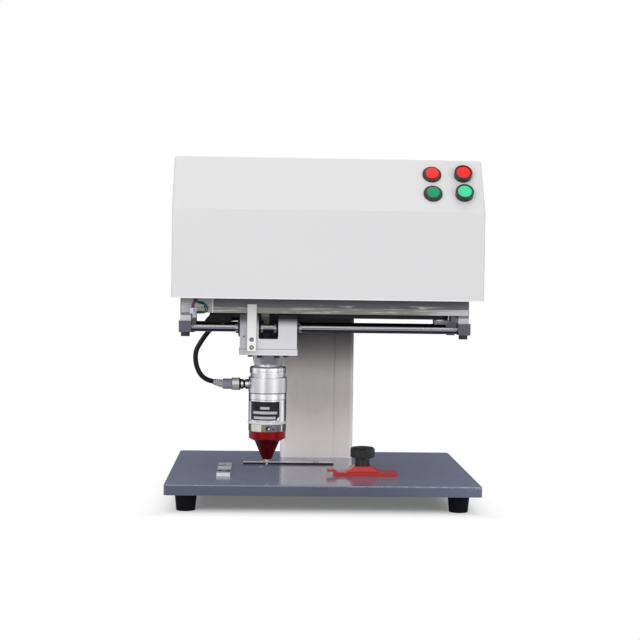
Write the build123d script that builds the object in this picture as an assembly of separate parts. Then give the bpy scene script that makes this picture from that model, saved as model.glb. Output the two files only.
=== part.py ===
from build123d import *
import os
from math import atan2, cos, degrees, pi, radians, sin, tan

os.makedirs("parts", exist_ok=True)

# Bench machine that marks nameplates with a hammering stylus.
# Millimetres, +Z up, the front faces -Y, +X is to the right of the operator.
# The origin lies on the bench, below the middle of the overall width and depth.

# Clearances and overrun shared by all pieces
overrun = 1.0
screw_clearance = 0.05
bearing_clearance = 0.05
slide_clearance = 0.2
belt_clearance = 0.3
drop_in_clearance = 0.3

# Base plate and feet
base_width = 450.0
base_depth = 376.0
base_thickness = 15.0
base_corner_radius = 5.0
base_edge_radius = 1.6
foot_height = 25.0
foot_top_radius = 16.0
foot_bottom_radius = 13.5
foot_inset = 30.0
foot_recess_radius = 6.5
foot_recess_depth = 12.0
foot_screw_radius = 2.5
foot_screw_grip = 9.0
foot_screw_head_radius = 4.8
foot_screw_head_height = 3.5

# Sheet cover over the head
cover_width = 425.0
cover_depth = 438.0
cover_over_rods = 44.0
cover_face_height = 121.0
bevel_rise = 74.0
bevel_run = 48.0
cover_sheet = 1.5
cover_bend_radius = 3.0
cover_lip_depth = 10.0
rear_panel_recess = 1.8
rear_flange_width = 14.0
rear_panel_gap = 0.5
vent_count = 7
vent_length = 44.0
vent_height = 3.5
vent_pitch = 9.0
vent_offset = 105.0
socket_plate_size = 26.0
socket_plate_thickness = 1.8
socket_barrel_radius = 11.0
socket_barrel_length = 16.0
socket_bore_radius = 8.8
socket_bore_depth = 13.0
socket_pin_radius = 0.8
socket_pin_length = 8.0
socket_pin_circle = 5.2
socket_pin_count = 6
control_socket_inset = 52.5
control_socket_height = 85.0
cover_screw_radius = 2.0
cover_screw_head_radius = 4.0
cover_screw_head_height = 1.8
cover_screw_length = 6.0
cover_screw_height = 74.0
cover_screw_spacing = 120.0

# Column at the back
column_width = 117.0
column_depth = 70.0
column_setback = 9.0
column_sheet = 2.0
column_corner_radius = 6.0
column_seam_offset = 27.0
column_seam_width = 1.2
column_seam_depth = 1.0
post_width = 100.0
post_depth = 54.0
post_wall = 5.0
post_boss = 18.0
post_screw_radius = 4.0
post_screw_length = 30.0
post_screw_head_radius = 6.5
post_screw_head_height = 7.0

# Frame plate inside the cover
frame_plate_rise = 47.0
frame_plate_thickness = 10.0
frame_plate_side_gap = 7.5
frame_plate_front_gap = 8.0
frame_plate_rear_gap = 12.0
bracket_height = 34.0
bracket_length = 280.0
bracket_foot = 20.0
bracket_sheet = 2.0
rail_width = 9.0
rail_height = 6.5
rail_end_gap = 6.0
rail_block_width = 19.0
rail_block_length = 32.0
rail_block_drop = 10.0
rail_block_lap = 7.6

# Moving bridge with its guide rods
bridge_side_gap = 7.0
end_plate_thickness = 15.0
end_plate_rear_reach = 18.0
end_plate_leg_depth = 40.0
rod_radius = 5.0
rod_height = 219.0
front_rod_setback = 100.0
rod_spacing = 136.0
rod_end_inset = 1.0
rod_clamp_depth = 28.0
rod_clamp_above = 10.6
rod_clamp_below = 6.2
rod_clamp_chamfer = 1.4
rod_clamp_proud = 0.5
rod_clamp_side_proud = 1.8
clamp_bolt_radius = 6.3
clamp_bolt_height = 5.8
beam_front_reach = 12.5
beam_rear_reach = 13.0
beam_sheet = 3.0
beam_lip_height = 8.4
beam_lip_proud = 0.8
beam_bottom_rise = 22.0
beam_top_rise = 46.0
beam_plate = 4.0
beam_notch_width = 30.5
beam_end_inset = 1.5
beam_tab_reach = 5.2

# Motors, pulleys and belts
motor_size = 42.0
motor_height = 34.0
motor_corner = 4.0
motor_cap_height = 9.0
motor_groove_depth = 0.5
motor_boss_radius = 11.0
motor_boss_height = 2.0
shaft_radius = 2.5
shaft_depth = 26.0
pulley_teeth = 30
belt_pitch = 2.0
pulley_pitch_radius = pulley_teeth * belt_pitch / (2 * pi)
tooth_depth = 0.8
tooth_width_share = 0.45
pulley_flange_width = 1.8
pulley_flange_height = 1.4
belt_width = 9.0
belt_thickness = 1.3
belt_float = 0.5
idler_stud_radius = 3.0
idler_washer_radius = 5.0
x_motor_inset = 40.5
x_idler_inset = 20.0
guard_inset = 18.1
guard_width = 38.4
guard_rise = 7.0
guard_corner_start = 2.8
guard_corner_width = 7.1
guard_corner_height = 11.5
guard_setback = 14.5
guard_thickness = 1.5
x_belt_setback = 38.0
x_belt_rise = 19.3
y_motor_setback = 40.0
y_belt_drop = 15.0
yoke_width = 20.0
yoke_height = 5.0
tension_block_width = 6.0
tension_block_depth = 28.0
tension_block_height = 13.0

# Carriage
carriage_inset = 110.1
carriage_width = 81.0
fork_depth = 26.0
fork_top_rise = 20.0
fork_drop = 28.7
fork_slot_width = 28.0
fork_slot_floor = 14.2
fork_slot_radius = 2.4
carriage_plate_thickness = 8.7
carriage_plate_margin = 1.0
rear_lug_depth = 26.0
rear_lug_rise = 14.0
bearing_radius = 9.5
bearing_overhang = 2.4
bearing_collar_radius = 7.0
bearing_collar_length = 3.6
seal_radius = 11.8
seal_thickness = 2.0
flag_width = 14.0
flag_thickness = 3.0
flag_height = 66.2
flag_offset = 23.6
flag_drop = 2.8
flag_screw_rises = (13.5, 2.3)
flag_screw_radius = 1.5
flag_screw_head_radius = 2.9
flag_screw_head_height = 1.2
flag_screw_length = 9.0
index_hole_radius = 1.3
index_hole_depth = 6.0
index_hole_offset = 34.5
index_hole_rise = 17.4
belt_clamp_width = 11.0
belt_clamp_depth = 11.0
belt_clamp_neck = 8.0
belt_clamp_offset = 3.0
belt_clamp_margin = 3.5
cable_bracket_width = 24.0
cable_bracket_thickness = 4.0
gland_rise = 40.7
gland_overhang = 3.5
gland_hex = 8.0
gland_hex_length = 4.0
gland_cap_radius = 6.6
gland_length = 10.0

# Marking head; the shares are of its length from the carriage plate to the nose
head_setback = 64.0
nose_lift = 23.6
neck_flange_radius = 30.0
neck_flange_height = 3.0
neck_top_radius = 23.6
neck_bottom_radius = 20.6
neck_height_share = 0.13038
neck_band_height = 3.0
neck_band_radius = 20.0
neck_screw_circle = 26.6
neck_screw_count = 6
neck_screw_head_radius = 3.4
neck_screw_head_height = 4.0
neck_screw_radius = 2.0
neck_screw_length = 8.0
ring_radius = 26.6
ring_height_share = 0.06076
ring_chamfer = 1.8
ring_slot_count = 4
ring_slot_width = 6.0
ring_slot_depth = 2.4
collar_radius = 25.7
collar_height_share = 0.03734
sleeve_radius = 28.5
sleeve_height_share = 0.14494
body_radius = 27.9
body_height_share = 0.26456
body_groove_width = 1.2
body_groove_depth = 0.5
body_groove_share = 0.23
body_wall = 4.0
label_thickness = 0.4
label_turn = -104.0
label_span = 114.0
label_edge_gap = 1.2
seal_ring_radius = 29.0
seal_ring_height_share = 0.02532
scale_ring_height_share = 0.06582
scale_ring_groove = 0.4
nose_radius = 27.2
nose_band_height_share = 0.07025
nose_shoulder_height_share = 0.02785
nose_shoulder_radius = 18.4
nose_tip_radius = 6.8
nose_wall = 3.0
nose_land_height = 2.4
nose_land_radius = 3.4
stylus_radius = 1.65
stylus_reach = 9.3
stylus_point = 3.2
armature_radius = 9.0
armature_height_share = 0.16456
armature_rise_share = 0.21519
stylus_collar_radius = 4.2
stylus_collar_height = 3.0
coil_radius = 22.0
coil_height_share = 0.21519
coil_bore_clearance = 0.3
spring_wire_radius = 0.5
spring_radius = 3.6
spring_turns = 6
spring_end_gap = 0.1

# Plug on the head and the cable
socket_radius = 7.4
socket_length = 12.2
socket_groove_radius = 6.0
socket_groove_length = 3.0
nut_radius = 9.2
nut_length = 12.2
nut_flats = 8
nut_groove_depth = 0.7
boot_radius = 7.7
boot_length = 13.0
boot_taper_length = 14.0
boot_start_radius = 6.0
boot_end_radius = 4.7
boot_rib_count = 4
boot_rib_depth = 0.8
boot_tilt = 12.0
boot_overlap = 1.6
boot_land_share = 0.6
nut_groove_share = 0.6
socket_drop_share = 0.06962
cable_radius = 3.6

# Push buttons on the bevel
button_left_inset = 70.5
button_right_inset = 27.5
button_low_row = 30.0
button_high_row = 62.5
bezel_radius = 12.9
bezel_height = 3.2
guard_radius = 12.4
guard_height = 8.6
bezel_chamfer = 1.0
thread_radius = 10.9
thread_length = 14.0
panel_hole_radius = 11.0
cap_radius = 9.0
cap_proud = 5.4
lit_cap_radius = 10.0
lit_cap_proud = 8.2
cap_dome = 0.9
cap_depth = 8.0
cap_running_gap = 0.3
cap_travel = 3.5
button_nut_radius = 14.0
button_nut_height = 3.0
switch_block_size = 26.0
switch_block_height = 30.0

# Fixture on the base
stop_bar_width = 20.0
stop_bar_length = 114.0
stop_bar_height = 4.7
stop_bar_left = -154.0
stop_bar_front_setback = 85.0
stop_bar_step_share = 0.53
stop_bar_step = 1.2
stop_bar_chamfer = 0.8
fixture_screw_radius = 2.0
fixture_screw_head_radius = 3.8
fixture_screw_head_height = 2.2
fixture_screw_length = 8.0
stop_screw_inset = 22.0
fence_left = -117.0
fence_length = 141.0
fence_depth = 16.0
fence_thickness = 2.6
fence_front_setback = 215.0
fence_slot_length = 14.0
fence_slot_shares = (0.2, 0.8)
clamp_offset = 62.0
clamp_setback = 113.0
stud_radius = 4.0
stud_base_depth = 12.0
stud_length = 34.0
strap_left = 43.0
strap_right = 50.8
strap_width = 30.0
strap_thickness = 4.7
strap_slot_half = 15.0
strap_corner_radius = 2.0
strap_nose_length = 10.0
strap_nose_width_share = 0.6
strap_nose_rise = 5.6
strap_nose_thickness = 3.4
strap_lift = 0.3
saddle_base_width = 47.0
saddle_base_depth = 29.0
saddle_top_width = 24.0
saddle_top_depth = 23.0
saddle_edge = 1.2
saddle_height = 8.0
knob_stem_radius = 10.8
knob_stem_height = 12.6
knob_radius = 18.2
knob_height = 14.6
knob_lobes = 8
knob_flute_radius = 4.2
knob_flute_bite = 1.7
knob_edge_chamfer = 2.2
knob_dome = 1.6
knob_cap_radius = 11.0
knob_cap_recess = 0.6

# Switch at the left end of the bridge, with its wires
switch_length = 20.5
switch_depth = 6.0
switch_height = 8.2
switch_rise = 20.6
switch_terminal_length = 9.0
switch_body_lift = 4.2
switch_lever_length = 6.5
switch_lever_height = 3.0
switch_bracket_thickness = 1.5
switch_end_lap = 1.0
wire_radius = 0.8
grommet_radius = 3.2
grommet_height = 2.5
grommet_offset = 6.3
grommet_gap = 0.1
brown_wire_count = 2
brown_wire_pitch = 2.2

# Control board on the frame plate
board_width = 150.0
board_depth = 90.0
board_thickness = 1.6
board_lift = 8.0
board_setback = 60.0
board_offset = -100.0
spacer_radius = 3.0
spacer_inset = 6.0
chip_size = 18.0
chip_height = 4.0
capacitor_radius = 6.0
capacitor_height = 18.0
capacitor_count = 3

# Places that follow from the sizes above
front_y = -cover_depth / 2
rear_y = cover_depth / 2
base_front_y = rear_y - base_depth
base_y = rear_y - base_depth / 2
base_top = foot_height + base_thickness
rod_z = base_top + rod_height
cover_bottom = rod_z + cover_over_rods
bend_z = cover_bottom + cover_face_height
cover_top = bend_z + bevel_rise
bevel_y = front_y + bevel_run
bevel_lean = atan2(bevel_run, bevel_rise)
button_left_offset = cover_width / 2 - button_left_inset
button_right_offset = cover_width / 2 - button_right_inset
control_socket_offset = control_socket_inset - cover_width / 2
column_rear_y = rear_y - column_setback
column_front_y = column_rear_y - column_depth
column_y = column_rear_y - column_depth / 2
frame_bottom = cover_bottom + frame_plate_rise
frame_top = frame_bottom + frame_plate_thickness
frame_half_width = cover_width / 2 - frame_plate_side_gap
frame_front_y = front_y + frame_plate_front_gap
frame_rear_y = rear_y - frame_plate_rear_gap
front_rod_y = front_y + front_rod_setback
rear_rod_y = front_rod_y + rod_spacing
bridge_half_width = cover_width / 2 - bridge_side_gap
bridge_inner = bridge_half_width - end_plate_thickness
rail_x = bridge_half_width - end_plate_thickness / 2
end_plate_bottom = rod_z + rod_clamp_above
end_plate_top = frame_bottom - rail_block_drop
beam_bottom = rod_z + beam_bottom_rise
beam_top = rod_z + beam_top_rise
beam_front_y = front_rod_y - beam_front_reach
beam_rear_y = rear_rod_y + beam_rear_reach
beam_face_y = beam_front_y + beam_lip_proud
end_plate_front_y = beam_face_y + beam_sheet
switch_bracket_y = end_plate_front_y - switch_bracket_thickness
x_motor_offset = x_motor_inset - bridge_inner
x_idler_offset = bridge_inner - x_idler_inset
carriage_home = carriage_inset - bridge_inner
x_belt_y = front_rod_y + x_belt_setback
x_belt_z = rod_z + x_belt_rise
y_belt_z = frame_bottom - y_belt_drop
y_motor_y = column_front_y - y_motor_setback
y_idler_y = frame_front_y + motor_size / 2 + pulley_flange_width
belt_inner_radius = pulley_pitch_radius + belt_clearance
fork_front_y = front_rod_y - fork_depth / 2
fork_rear_y = front_rod_y + fork_depth / 2
fork_bottom = rod_z - fork_drop
fork_top = rod_z + fork_top_rise
plate_bottom = fork_bottom - carriage_plate_thickness
lug_width = (carriage_width - fork_slot_width) / 2
lug_centre = (fork_slot_width + lug_width) / 2
head_y = front_rod_y + head_setback
nose_bottom = base_top + nose_lift
head_length = plate_bottom - nose_bottom
neck_bottom = plate_bottom - head_length * neck_height_share
ring_bottom = neck_bottom - head_length * ring_height_share
collar_bottom = ring_bottom - head_length * collar_height_share
sleeve_bottom = collar_bottom - head_length * sleeve_height_share
body_height = head_length * body_height_share
body_bottom = sleeve_bottom - body_height
seal_ring_height = head_length * seal_ring_height_share
seal_ring_bottom = body_bottom - seal_ring_height
scale_ring_bottom = seal_ring_bottom - head_length * scale_ring_height_share
nose_band_bottom = scale_ring_bottom - head_length * nose_band_height_share
nose_shoulder_bottom = nose_band_bottom - head_length * nose_shoulder_height_share
armature_height = head_length * armature_height_share
armature_rise = head_length * armature_rise_share
coil_height = head_length * coil_height_share
socket_z = collar_bottom - head_length * socket_drop_share
clamp_y = base_front_y + clamp_setback
strap_bottom = base_top + strap_lift
strap_top = strap_bottom + strap_thickness
saddle_bottom = strap_top + strap_lift
saddle_top = saddle_bottom + saddle_height
knob_bottom = saddle_top + strap_lift
gland_z = fork_bottom + gland_rise
gland_x = carriage_home - carriage_width / 2 - gland_overhang


def block(x_low, x_high, y_low, y_high, z_low, z_high):
    """A box between two corners."""
    middle = Pos((x_low + x_high) / 2, (y_low + y_high) / 2, (z_low + z_high) / 2)
    return middle * Box(x_high - x_low, y_high - y_low, z_high - z_low)


def disc(x, y, z_low, z_high, radius):
    """An upright cylinder between two heights."""
    return Pos(x, y, (z_low + z_high) / 2) * Cylinder(radius, z_high - z_low)


def disc_along_x(x_low, x_high, y, z, radius):
    """A cylinder that lies along X."""
    return Pos((x_low + x_high) / 2, y, z) * Rot(0, 90, 0) * Cylinder(radius, x_high - x_low)


def disc_along_y(x, y_low, y_high, z, radius):
    """A cylinder that lies along Y."""
    return Pos(x, (y_low + y_high) / 2, z) * Rot(90, 0, 0) * Cylinder(radius, y_high - y_low)


def turned(profile):
    """A turned piece about Z from (radius, height) points."""
    outline = Polyline([(radius, 0, height) for radius, height in profile], close=True)
    return revolve(make_face(outline), Axis.Z)


def upright_edges(shape):
    """The edges of a shape that run along Z."""
    return shape.edges().filter_by(Axis.Z)


def base_foot_places():
    """Centres of the four feet."""
    half = base_width / 2 - foot_inset
    return [(x, y) for x in (-half, half) for y in (base_front_y + foot_inset, rear_y - foot_inset)]


def post_screw_places():
    """Centres of the four screws at each end of the column post."""
    across = (post_width - post_boss) / 2
    along = (post_depth - post_boss) / 2
    return [(x, column_y + y) for x in (-across, across) for y in (-along, along)]


def stop_screw_places():
    """Centres of the two screws in the left stop bar."""
    x = stop_bar_left + stop_bar_width / 2
    start = base_front_y + stop_bar_front_setback
    return [(x, start + stop_screw_inset), (x, start + stop_bar_length - stop_screw_inset)]


def fence_screw_places():
    """Centres of the two slots in the rear fence."""
    y = base_front_y + fence_front_setback + fence_depth / 2
    return [(fence_left + share * fence_length, y) for share in fence_slot_shares]


def base_plate():
    """Plate that carries the column, the fixture and the feet."""
    plate = block(-base_width / 2, base_width / 2, base_front_y, rear_y, foot_height, base_top)
    plate = fillet(upright_edges(plate), base_corner_radius)
    plate = fillet(plate.faces().sort_by(Axis.Z)[-1].edges(), base_edge_radius)
    for x, y in base_foot_places():
        hole_top = foot_height + foot_screw_grip + overrun
        plate -= disc(x, y, foot_height - overrun, hole_top, foot_screw_radius + screw_clearance)
    for x, y in post_screw_places():
        plate -= disc(x, y, foot_height - overrun, base_top + overrun, post_screw_radius + screw_clearance)
        head_top = foot_height + post_screw_head_height
        plate -= disc(x, y, foot_height - overrun, head_top, post_screw_head_radius + screw_clearance)
    for x, y in stop_screw_places() + fence_screw_places():
        hole_bottom = base_top - fixture_screw_length
        plate -= disc(x, y, hole_bottom, base_top + overrun, fixture_screw_radius + screw_clearance)
    stud_hole = base_top - stud_base_depth
    plate -= disc(clamp_offset, clamp_y, stud_hole, base_top + overrun, stud_radius + screw_clearance)
    return [plate]


def rubber_feet():
    """Tapered feet with a recess for the screw head."""
    feet = []
    for x, y in base_foot_places():
        foot = turned(
            [
                (0, 0),
                (foot_bottom_radius, 0),
                (foot_top_radius, foot_height),
                (0, foot_height),
            ]
        )
        foot -= disc(0, 0, -overrun, foot_recess_depth, foot_recess_radius)
        foot -= disc(0, 0, 0, foot_height + overrun, foot_screw_radius + screw_clearance)
        feet.append(Pos(x, y, 0) * foot)
    return feet


def base_fasteners():
    """Screws in the feet, the column and the fixture, and the stud of the clamp."""
    pieces = []
    for x, y in base_foot_places():
        head_bottom = foot_recess_depth - foot_screw_head_height
        screw = disc(x, y, head_bottom, foot_recess_depth, foot_screw_head_radius)
        shank_top = foot_height + foot_screw_grip
        pieces.append(screw + disc(x, y, foot_recess_depth, shank_top, foot_screw_radius))
    for x, y in post_screw_places():
        head_top = foot_height + post_screw_head_height
        screw = disc(x, y, foot_height, head_top, post_screw_head_radius)
        screw += disc(x, y, head_top, head_top + post_screw_length, post_screw_radius)
        pieces.append(screw)
        screw = disc(x, y, frame_top, frame_top + post_screw_head_height, post_screw_head_radius)
        screw += disc(x, y, frame_top - post_screw_length, frame_top, post_screw_radius)
        pieces.append(screw)
    for x, y in stop_screw_places():
        seat = base_top + stop_bar_height - fixture_screw_head_height
        pieces.append(fixture_screw(x, y, seat))
    for x, y in fence_screw_places():
        pieces.append(fixture_screw(x, y, base_top + fence_thickness))
    stud = disc(clamp_offset, clamp_y, base_top - stud_base_depth, base_top + stud_length, stud_radius)
    pieces.append(stud)
    return pieces


def fixture_screw(x, y, seat):
    """Cap screw whose head rests at the seat height."""
    head_top = seat + fixture_screw_head_height
    screw = disc(x, y, seat, head_top, fixture_screw_head_radius)
    screw += disc(x, y, base_top - fixture_screw_length, seat, fixture_screw_radius)
    socket = Pos(x, y, head_top) * extrude(RegularPolygon(fixture_screw_radius, 6), -fixture_screw_radius / 2)
    return screw - socket


def column_post():
    """Hollow section that carries the head, with a screw boss in each corner."""
    post = block(
        -post_width / 2,
        post_width / 2,
        column_y - post_depth / 2,
        column_y + post_depth / 2,
        base_top,
        frame_bottom,
    )
    post -= block(
        -post_width / 2 + post_wall,
        post_width / 2 - post_wall,
        column_y - post_depth / 2 + post_wall,
        column_y + post_depth / 2 - post_wall,
        base_top - overrun,
        frame_bottom + overrun,
    )
    for x, y in post_screw_places():
        half = post_boss / 2
        boss = block(x - half, x + half, y - half, y + half, base_top, frame_bottom)
        hole = disc(x, y, base_top - overrun, frame_bottom + overrun, post_screw_radius + screw_clearance)
        post = post + boss - hole
    return [post]


def column_cover():
    """Sheet casing round the post, with the joint of its two panels in front."""
    outer = block(
        -column_width / 2, column_width / 2, column_front_y, column_rear_y, base_top, frame_bottom
    )
    outer = fillet(upright_edges(outer), column_corner_radius)
    inner = block(
        -column_width / 2 + column_sheet,
        column_width / 2 - column_sheet,
        column_front_y + column_sheet,
        column_rear_y - column_sheet,
        base_top - overrun,
        frame_bottom + overrun,
    )
    inner = fillet(upright_edges(inner), column_corner_radius - column_sheet)
    seam = block(
        column_seam_offset,
        column_seam_offset + column_seam_width,
        column_front_y - overrun,
        column_front_y + column_seam_depth,
        base_top - overrun,
        frame_bottom + overrun,
    )
    return [outer - inner - seam]


def head_frame_plate():
    """Plate on the column that carries the rails, the motor, the idler stud and the cover."""
    plate = block(
        -frame_half_width, frame_half_width, frame_front_y, frame_rear_y, frame_bottom, frame_top
    )
    for x, y in post_screw_places():
        hole = disc(x, y, frame_bottom - overrun, frame_top + overrun, post_screw_radius + screw_clearance)
        plate -= hole
    opening_radius = motor_boss_radius + screw_clearance
    plate -= disc(0, y_motor_y, frame_bottom - overrun, frame_top + overrun, opening_radius)
    inner_side = cover_width / 2 - cover_sheet
    rear = column_front_y
    front = rear - bracket_length
    for side in (-1, 1):
        low, high = sorted((side * (inner_side - bracket_sheet), side * inner_side))
        upright = block(low, high, front, rear, frame_top, frame_top + bracket_height)
        low, high = sorted((side * (inner_side - bracket_foot), side * inner_side))
        foot = block(low, high, front, rear, frame_top, frame_top + bracket_sheet)
        plate = plate + upright + foot
        for x, y, z in side_screw_places(side):
            low, high = sorted((x - side * cover_screw_length, x + side * overrun))
            plate -= disc_along_x(low, high, y, z, cover_screw_radius + screw_clearance)
    stud_bottom = y_belt_z - belt_width / 2 - pulley_flange_height - belt_float - screw_clearance
    stud = disc(0, y_idler_y, stud_bottom, frame_bottom, idler_stud_radius)
    washer_bottom = y_belt_z + belt_width / 2 + pulley_flange_height + belt_float + screw_clearance
    stud += disc(0, y_idler_y, washer_bottom, frame_bottom, idler_washer_radius)
    stud += disc(0, y_idler_y, stud_bottom - belt_thickness, stud_bottom, idler_washer_radius)
    return [plate + stud]


def side_screw_places(side):
    """Screws through one side of the cover, on its outer face."""
    middle = column_front_y - bracket_length / 2
    z = cover_bottom + cover_screw_height
    x = side * cover_width / 2
    return [(x, middle + step * cover_screw_spacing, z) for step in (-1, 0, 1)]


def rear_screw_places():
    """Screws that hold the rear panel to the flange behind it."""
    across = cover_width / 2 - cover_sheet - rear_flange_width / 2
    low = cover_bottom + rear_flange_width / 2
    high = cover_top - cover_sheet - rear_flange_width / 2
    return [(x, z) for x in (-across, 0, across) for z in (low, high)]


def cover_body(inset, radius, drop, open_rear):
    """Solid form of the cover, drawn in by the inset and with rounded bends."""
    half_turn = tan((pi / 2 - bevel_lean) / 2)
    knee = inset * tan(bevel_lean / 2)
    rear = rear_y + open_rear
    points = [
        (front_y + inset, cover_bottom - drop),
        (front_y + inset, bend_z - knee),
        (bevel_y + inset * half_turn, cover_top - inset),
        (rear, cover_top - inset),
        (rear, cover_bottom - drop),
    ]
    side = Plane.YZ * make_face(Polyline(points, close=True))
    body = extrude(side, cover_width / 2 - inset, both=True)
    bends = [
        edge
        for edge in body.edges()
        if edge.center().Z > cover_bottom - drop + overrun / 2 and edge.center().Y < rear - overrun / 2
    ]
    return fillet(bends, radius)


def head_cover():
    """Folded sheet cover, open below, with the button holes in its bevel."""
    shell = cover_body(0, cover_bend_radius, 0, 0)
    shell -= cover_body(cover_sheet, cover_bend_radius - cover_sheet, overrun, overrun)
    inner_side = cover_width / 2 - cover_sheet
    lip = block(
        -inner_side,
        inner_side,
        front_y + cover_sheet / 2,
        front_y + cover_lip_depth,
        cover_bottom,
        cover_bottom + cover_sheet,
    )
    flange_outer = rear_y - rear_panel_recess - cover_sheet
    flange = block(
        -inner_side - cover_sheet / 2,
        inner_side + cover_sheet / 2,
        flange_outer - cover_sheet,
        flange_outer,
        cover_bottom,
        cover_top - cover_sheet / 2,
    )
    flange -= block(
        -inner_side + rear_flange_width,
        inner_side - rear_flange_width,
        flange_outer - cover_sheet - overrun,
        flange_outer + overrun,
        cover_bottom + rear_flange_width,
        cover_top - cover_sheet - rear_flange_width,
    )
    shell = shell + lip + flange
    flange_inner = flange_outer - cover_sheet
    for x, z in rear_screw_places():
        shell -= disc_along_y(x, flange_inner - overrun, flange_outer + overrun, z, rear_hole_radius())
    for side in (-1, 1):
        for x, y, z in side_screw_places(side):
            low, high = sorted((x - side * cover_screw_length, x + side * overrun))
            shell -= disc_along_x(low, high, y, z, cover_screw_radius + screw_clearance)
    for x, rise in button_places():
        hole = Cylinder(panel_hole_radius, 2 * cover_bend_radius + 2 * overrun)
        shell -= bevel_frame(x, rise) * hole
    return [shell]


def rear_hole_radius():
    """Radius of the screw holes in the rear panel and its flange."""
    return cover_screw_radius + screw_clearance


def rear_panel():
    """Flat panel that closes the back of the cover, with cooling slots."""
    outer = rear_y - rear_panel_recess
    half = cover_width / 2 - cover_sheet - rear_panel_gap
    low = cover_bottom + rear_panel_gap
    high = cover_top - cover_sheet - rear_panel_gap
    panel = block(-half, half, outer - cover_sheet, outer, low, high)
    for x, z in rear_screw_places():
        panel -= disc_along_y(x, outer - cover_sheet - overrun, outer + overrun, z, rear_hole_radius())
    panel -= disc_along_y(
        control_socket_offset,
        outer - cover_sheet - overrun,
        outer + overrun,
        cover_bottom + control_socket_height,
        socket_barrel_radius + screw_clearance,
    )
    middle_z = (cover_bottom + cover_top) / 2
    for side in (-1, 1):
        for step in range(vent_count):
            z = middle_z + (step - (vent_count - 1) / 2) * vent_pitch
            slot = block(
                side * vent_offset - vent_length / 2,
                side * vent_offset + vent_length / 2,
                outer - cover_sheet - overrun,
                outer + overrun,
                z - vent_height / 2,
                z + vent_height / 2,
            )
            panel -= slot
    return [panel]


def control_socket():
    """Round socket with a square plate, for the lead of the controller."""
    face = rear_y - rear_panel_recess
    z = cover_bottom + control_socket_height
    x = control_socket_offset
    half = socket_plate_size / 2
    outer = face + socket_plate_thickness
    socket = block(x - half, x + half, face, outer, z - half, z + half)
    socket += disc_along_y(x, face - socket_barrel_length, face, z, socket_barrel_radius)
    floor = outer - socket_bore_depth
    socket -= disc_along_y(x, floor, outer + overrun, z, socket_bore_radius)
    for step in range(socket_pin_count):
        turn = 2 * pi * step / socket_pin_count
        pin_x = x + socket_pin_circle * cos(turn)
        pin_z = z + socket_pin_circle * sin(turn)
        socket += disc_along_y(pin_x, floor, floor + socket_pin_length, pin_z, socket_pin_radius)
    return [socket]


def cover_screws():
    """Pan-head screws in the sides of the cover and in its rear panel."""
    screws = []
    for side in (-1, 1):
        for x, y, z in side_screw_places(side):
            low, high = sorted((x, x + side * cover_screw_head_height))
            screw = disc_along_x(low, high, y, z, cover_screw_head_radius)
            low, high = sorted((x - side * cover_screw_length, x))
            screws.append(screw + disc_along_x(low, high, y, z, cover_screw_radius))
    outer = rear_y - rear_panel_recess
    for x, z in rear_screw_places():
        screw = disc_along_y(x, outer, outer + cover_screw_head_height, z, cover_screw_head_radius)
        screws.append(screw + disc_along_y(x, outer - cover_screw_length, outer, z, cover_screw_radius))
    return screws


def y_rails():
    """Profile rails under the frame plate that the bridge runs on."""
    rails = []
    for side in (-1, 1):
        x = side * rail_x
        low = frame_front_y + rail_end_gap
        high = frame_rear_y - rail_end_gap
        half = rail_width / 2
        rail = block(x - half, x + half, low, high, frame_bottom - rail_height, frame_bottom)
        groove = Rot(0, 45, 0) * Box(rail_width / 5, high - low + 2 * overrun, rail_width / 5)
        for edge in (-1, 1):
            place = Pos(x + edge * rail_width / 2, (low + high) / 2, frame_bottom - rail_height / 2)
            rail -= place * groove
        rails.append(rail)
    return rails


def y_rail_blocks():
    """Bearing blocks that hang on the rails and carry the end plates."""
    blocks = []
    half_gap = rail_width / 2 + slide_clearance
    for side in (-1, 1):
        x = side * rail_x
        for y in rail_block_places():
            body = block(
                x - rail_block_width / 2,
                x + rail_block_width / 2,
                y - rail_block_length / 2,
                y + rail_block_length / 2,
                end_plate_top,
                end_plate_top + rail_block_lap,
            )
            slot = block(
                x - half_gap,
                x + half_gap,
                y - rail_block_length,
                y + rail_block_length,
                frame_bottom - rail_height - slide_clearance,
                end_plate_top + rail_block_lap + overrun,
            )
            blocks.append(body - slot)
    return blocks


def rail_block_places():
    """Middle of the front and the rear bearing block along Y."""
    front = end_plate_front_y + rail_block_length / 2
    rear = rear_rod_y + end_plate_rear_reach - rail_block_length / 2
    return (front, rear)


def motor(x, y, seat, depth_below):
    """Stepper motor that stands on its seat, with the bore that takes the shaft."""
    half = motor_size / 2
    body = block(x - half, x + half, y - half, y + half, seat, seat + motor_height)
    body = chamfer(upright_edges(body), motor_corner)
    for z in (seat + motor_cap_height, seat + motor_height - motor_cap_height):
        outer = half + overrun
        inner = half - motor_groove_depth
        top = z + motor_groove_depth
        groove = block(x - outer, x + outer, y - outer, y + outer, z, top)
        body -= groove - block(x - inner, x + inner, y - inner, y + inner, z, top)
    boss_height = min(motor_boss_height, depth_below)
    body += disc(x, y, seat - boss_height, seat, motor_boss_radius)
    bore_top = seat + shaft_depth + overrun
    return body - disc(x, y, seat - boss_height - overrun, bore_top, shaft_radius + bearing_clearance)


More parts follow.
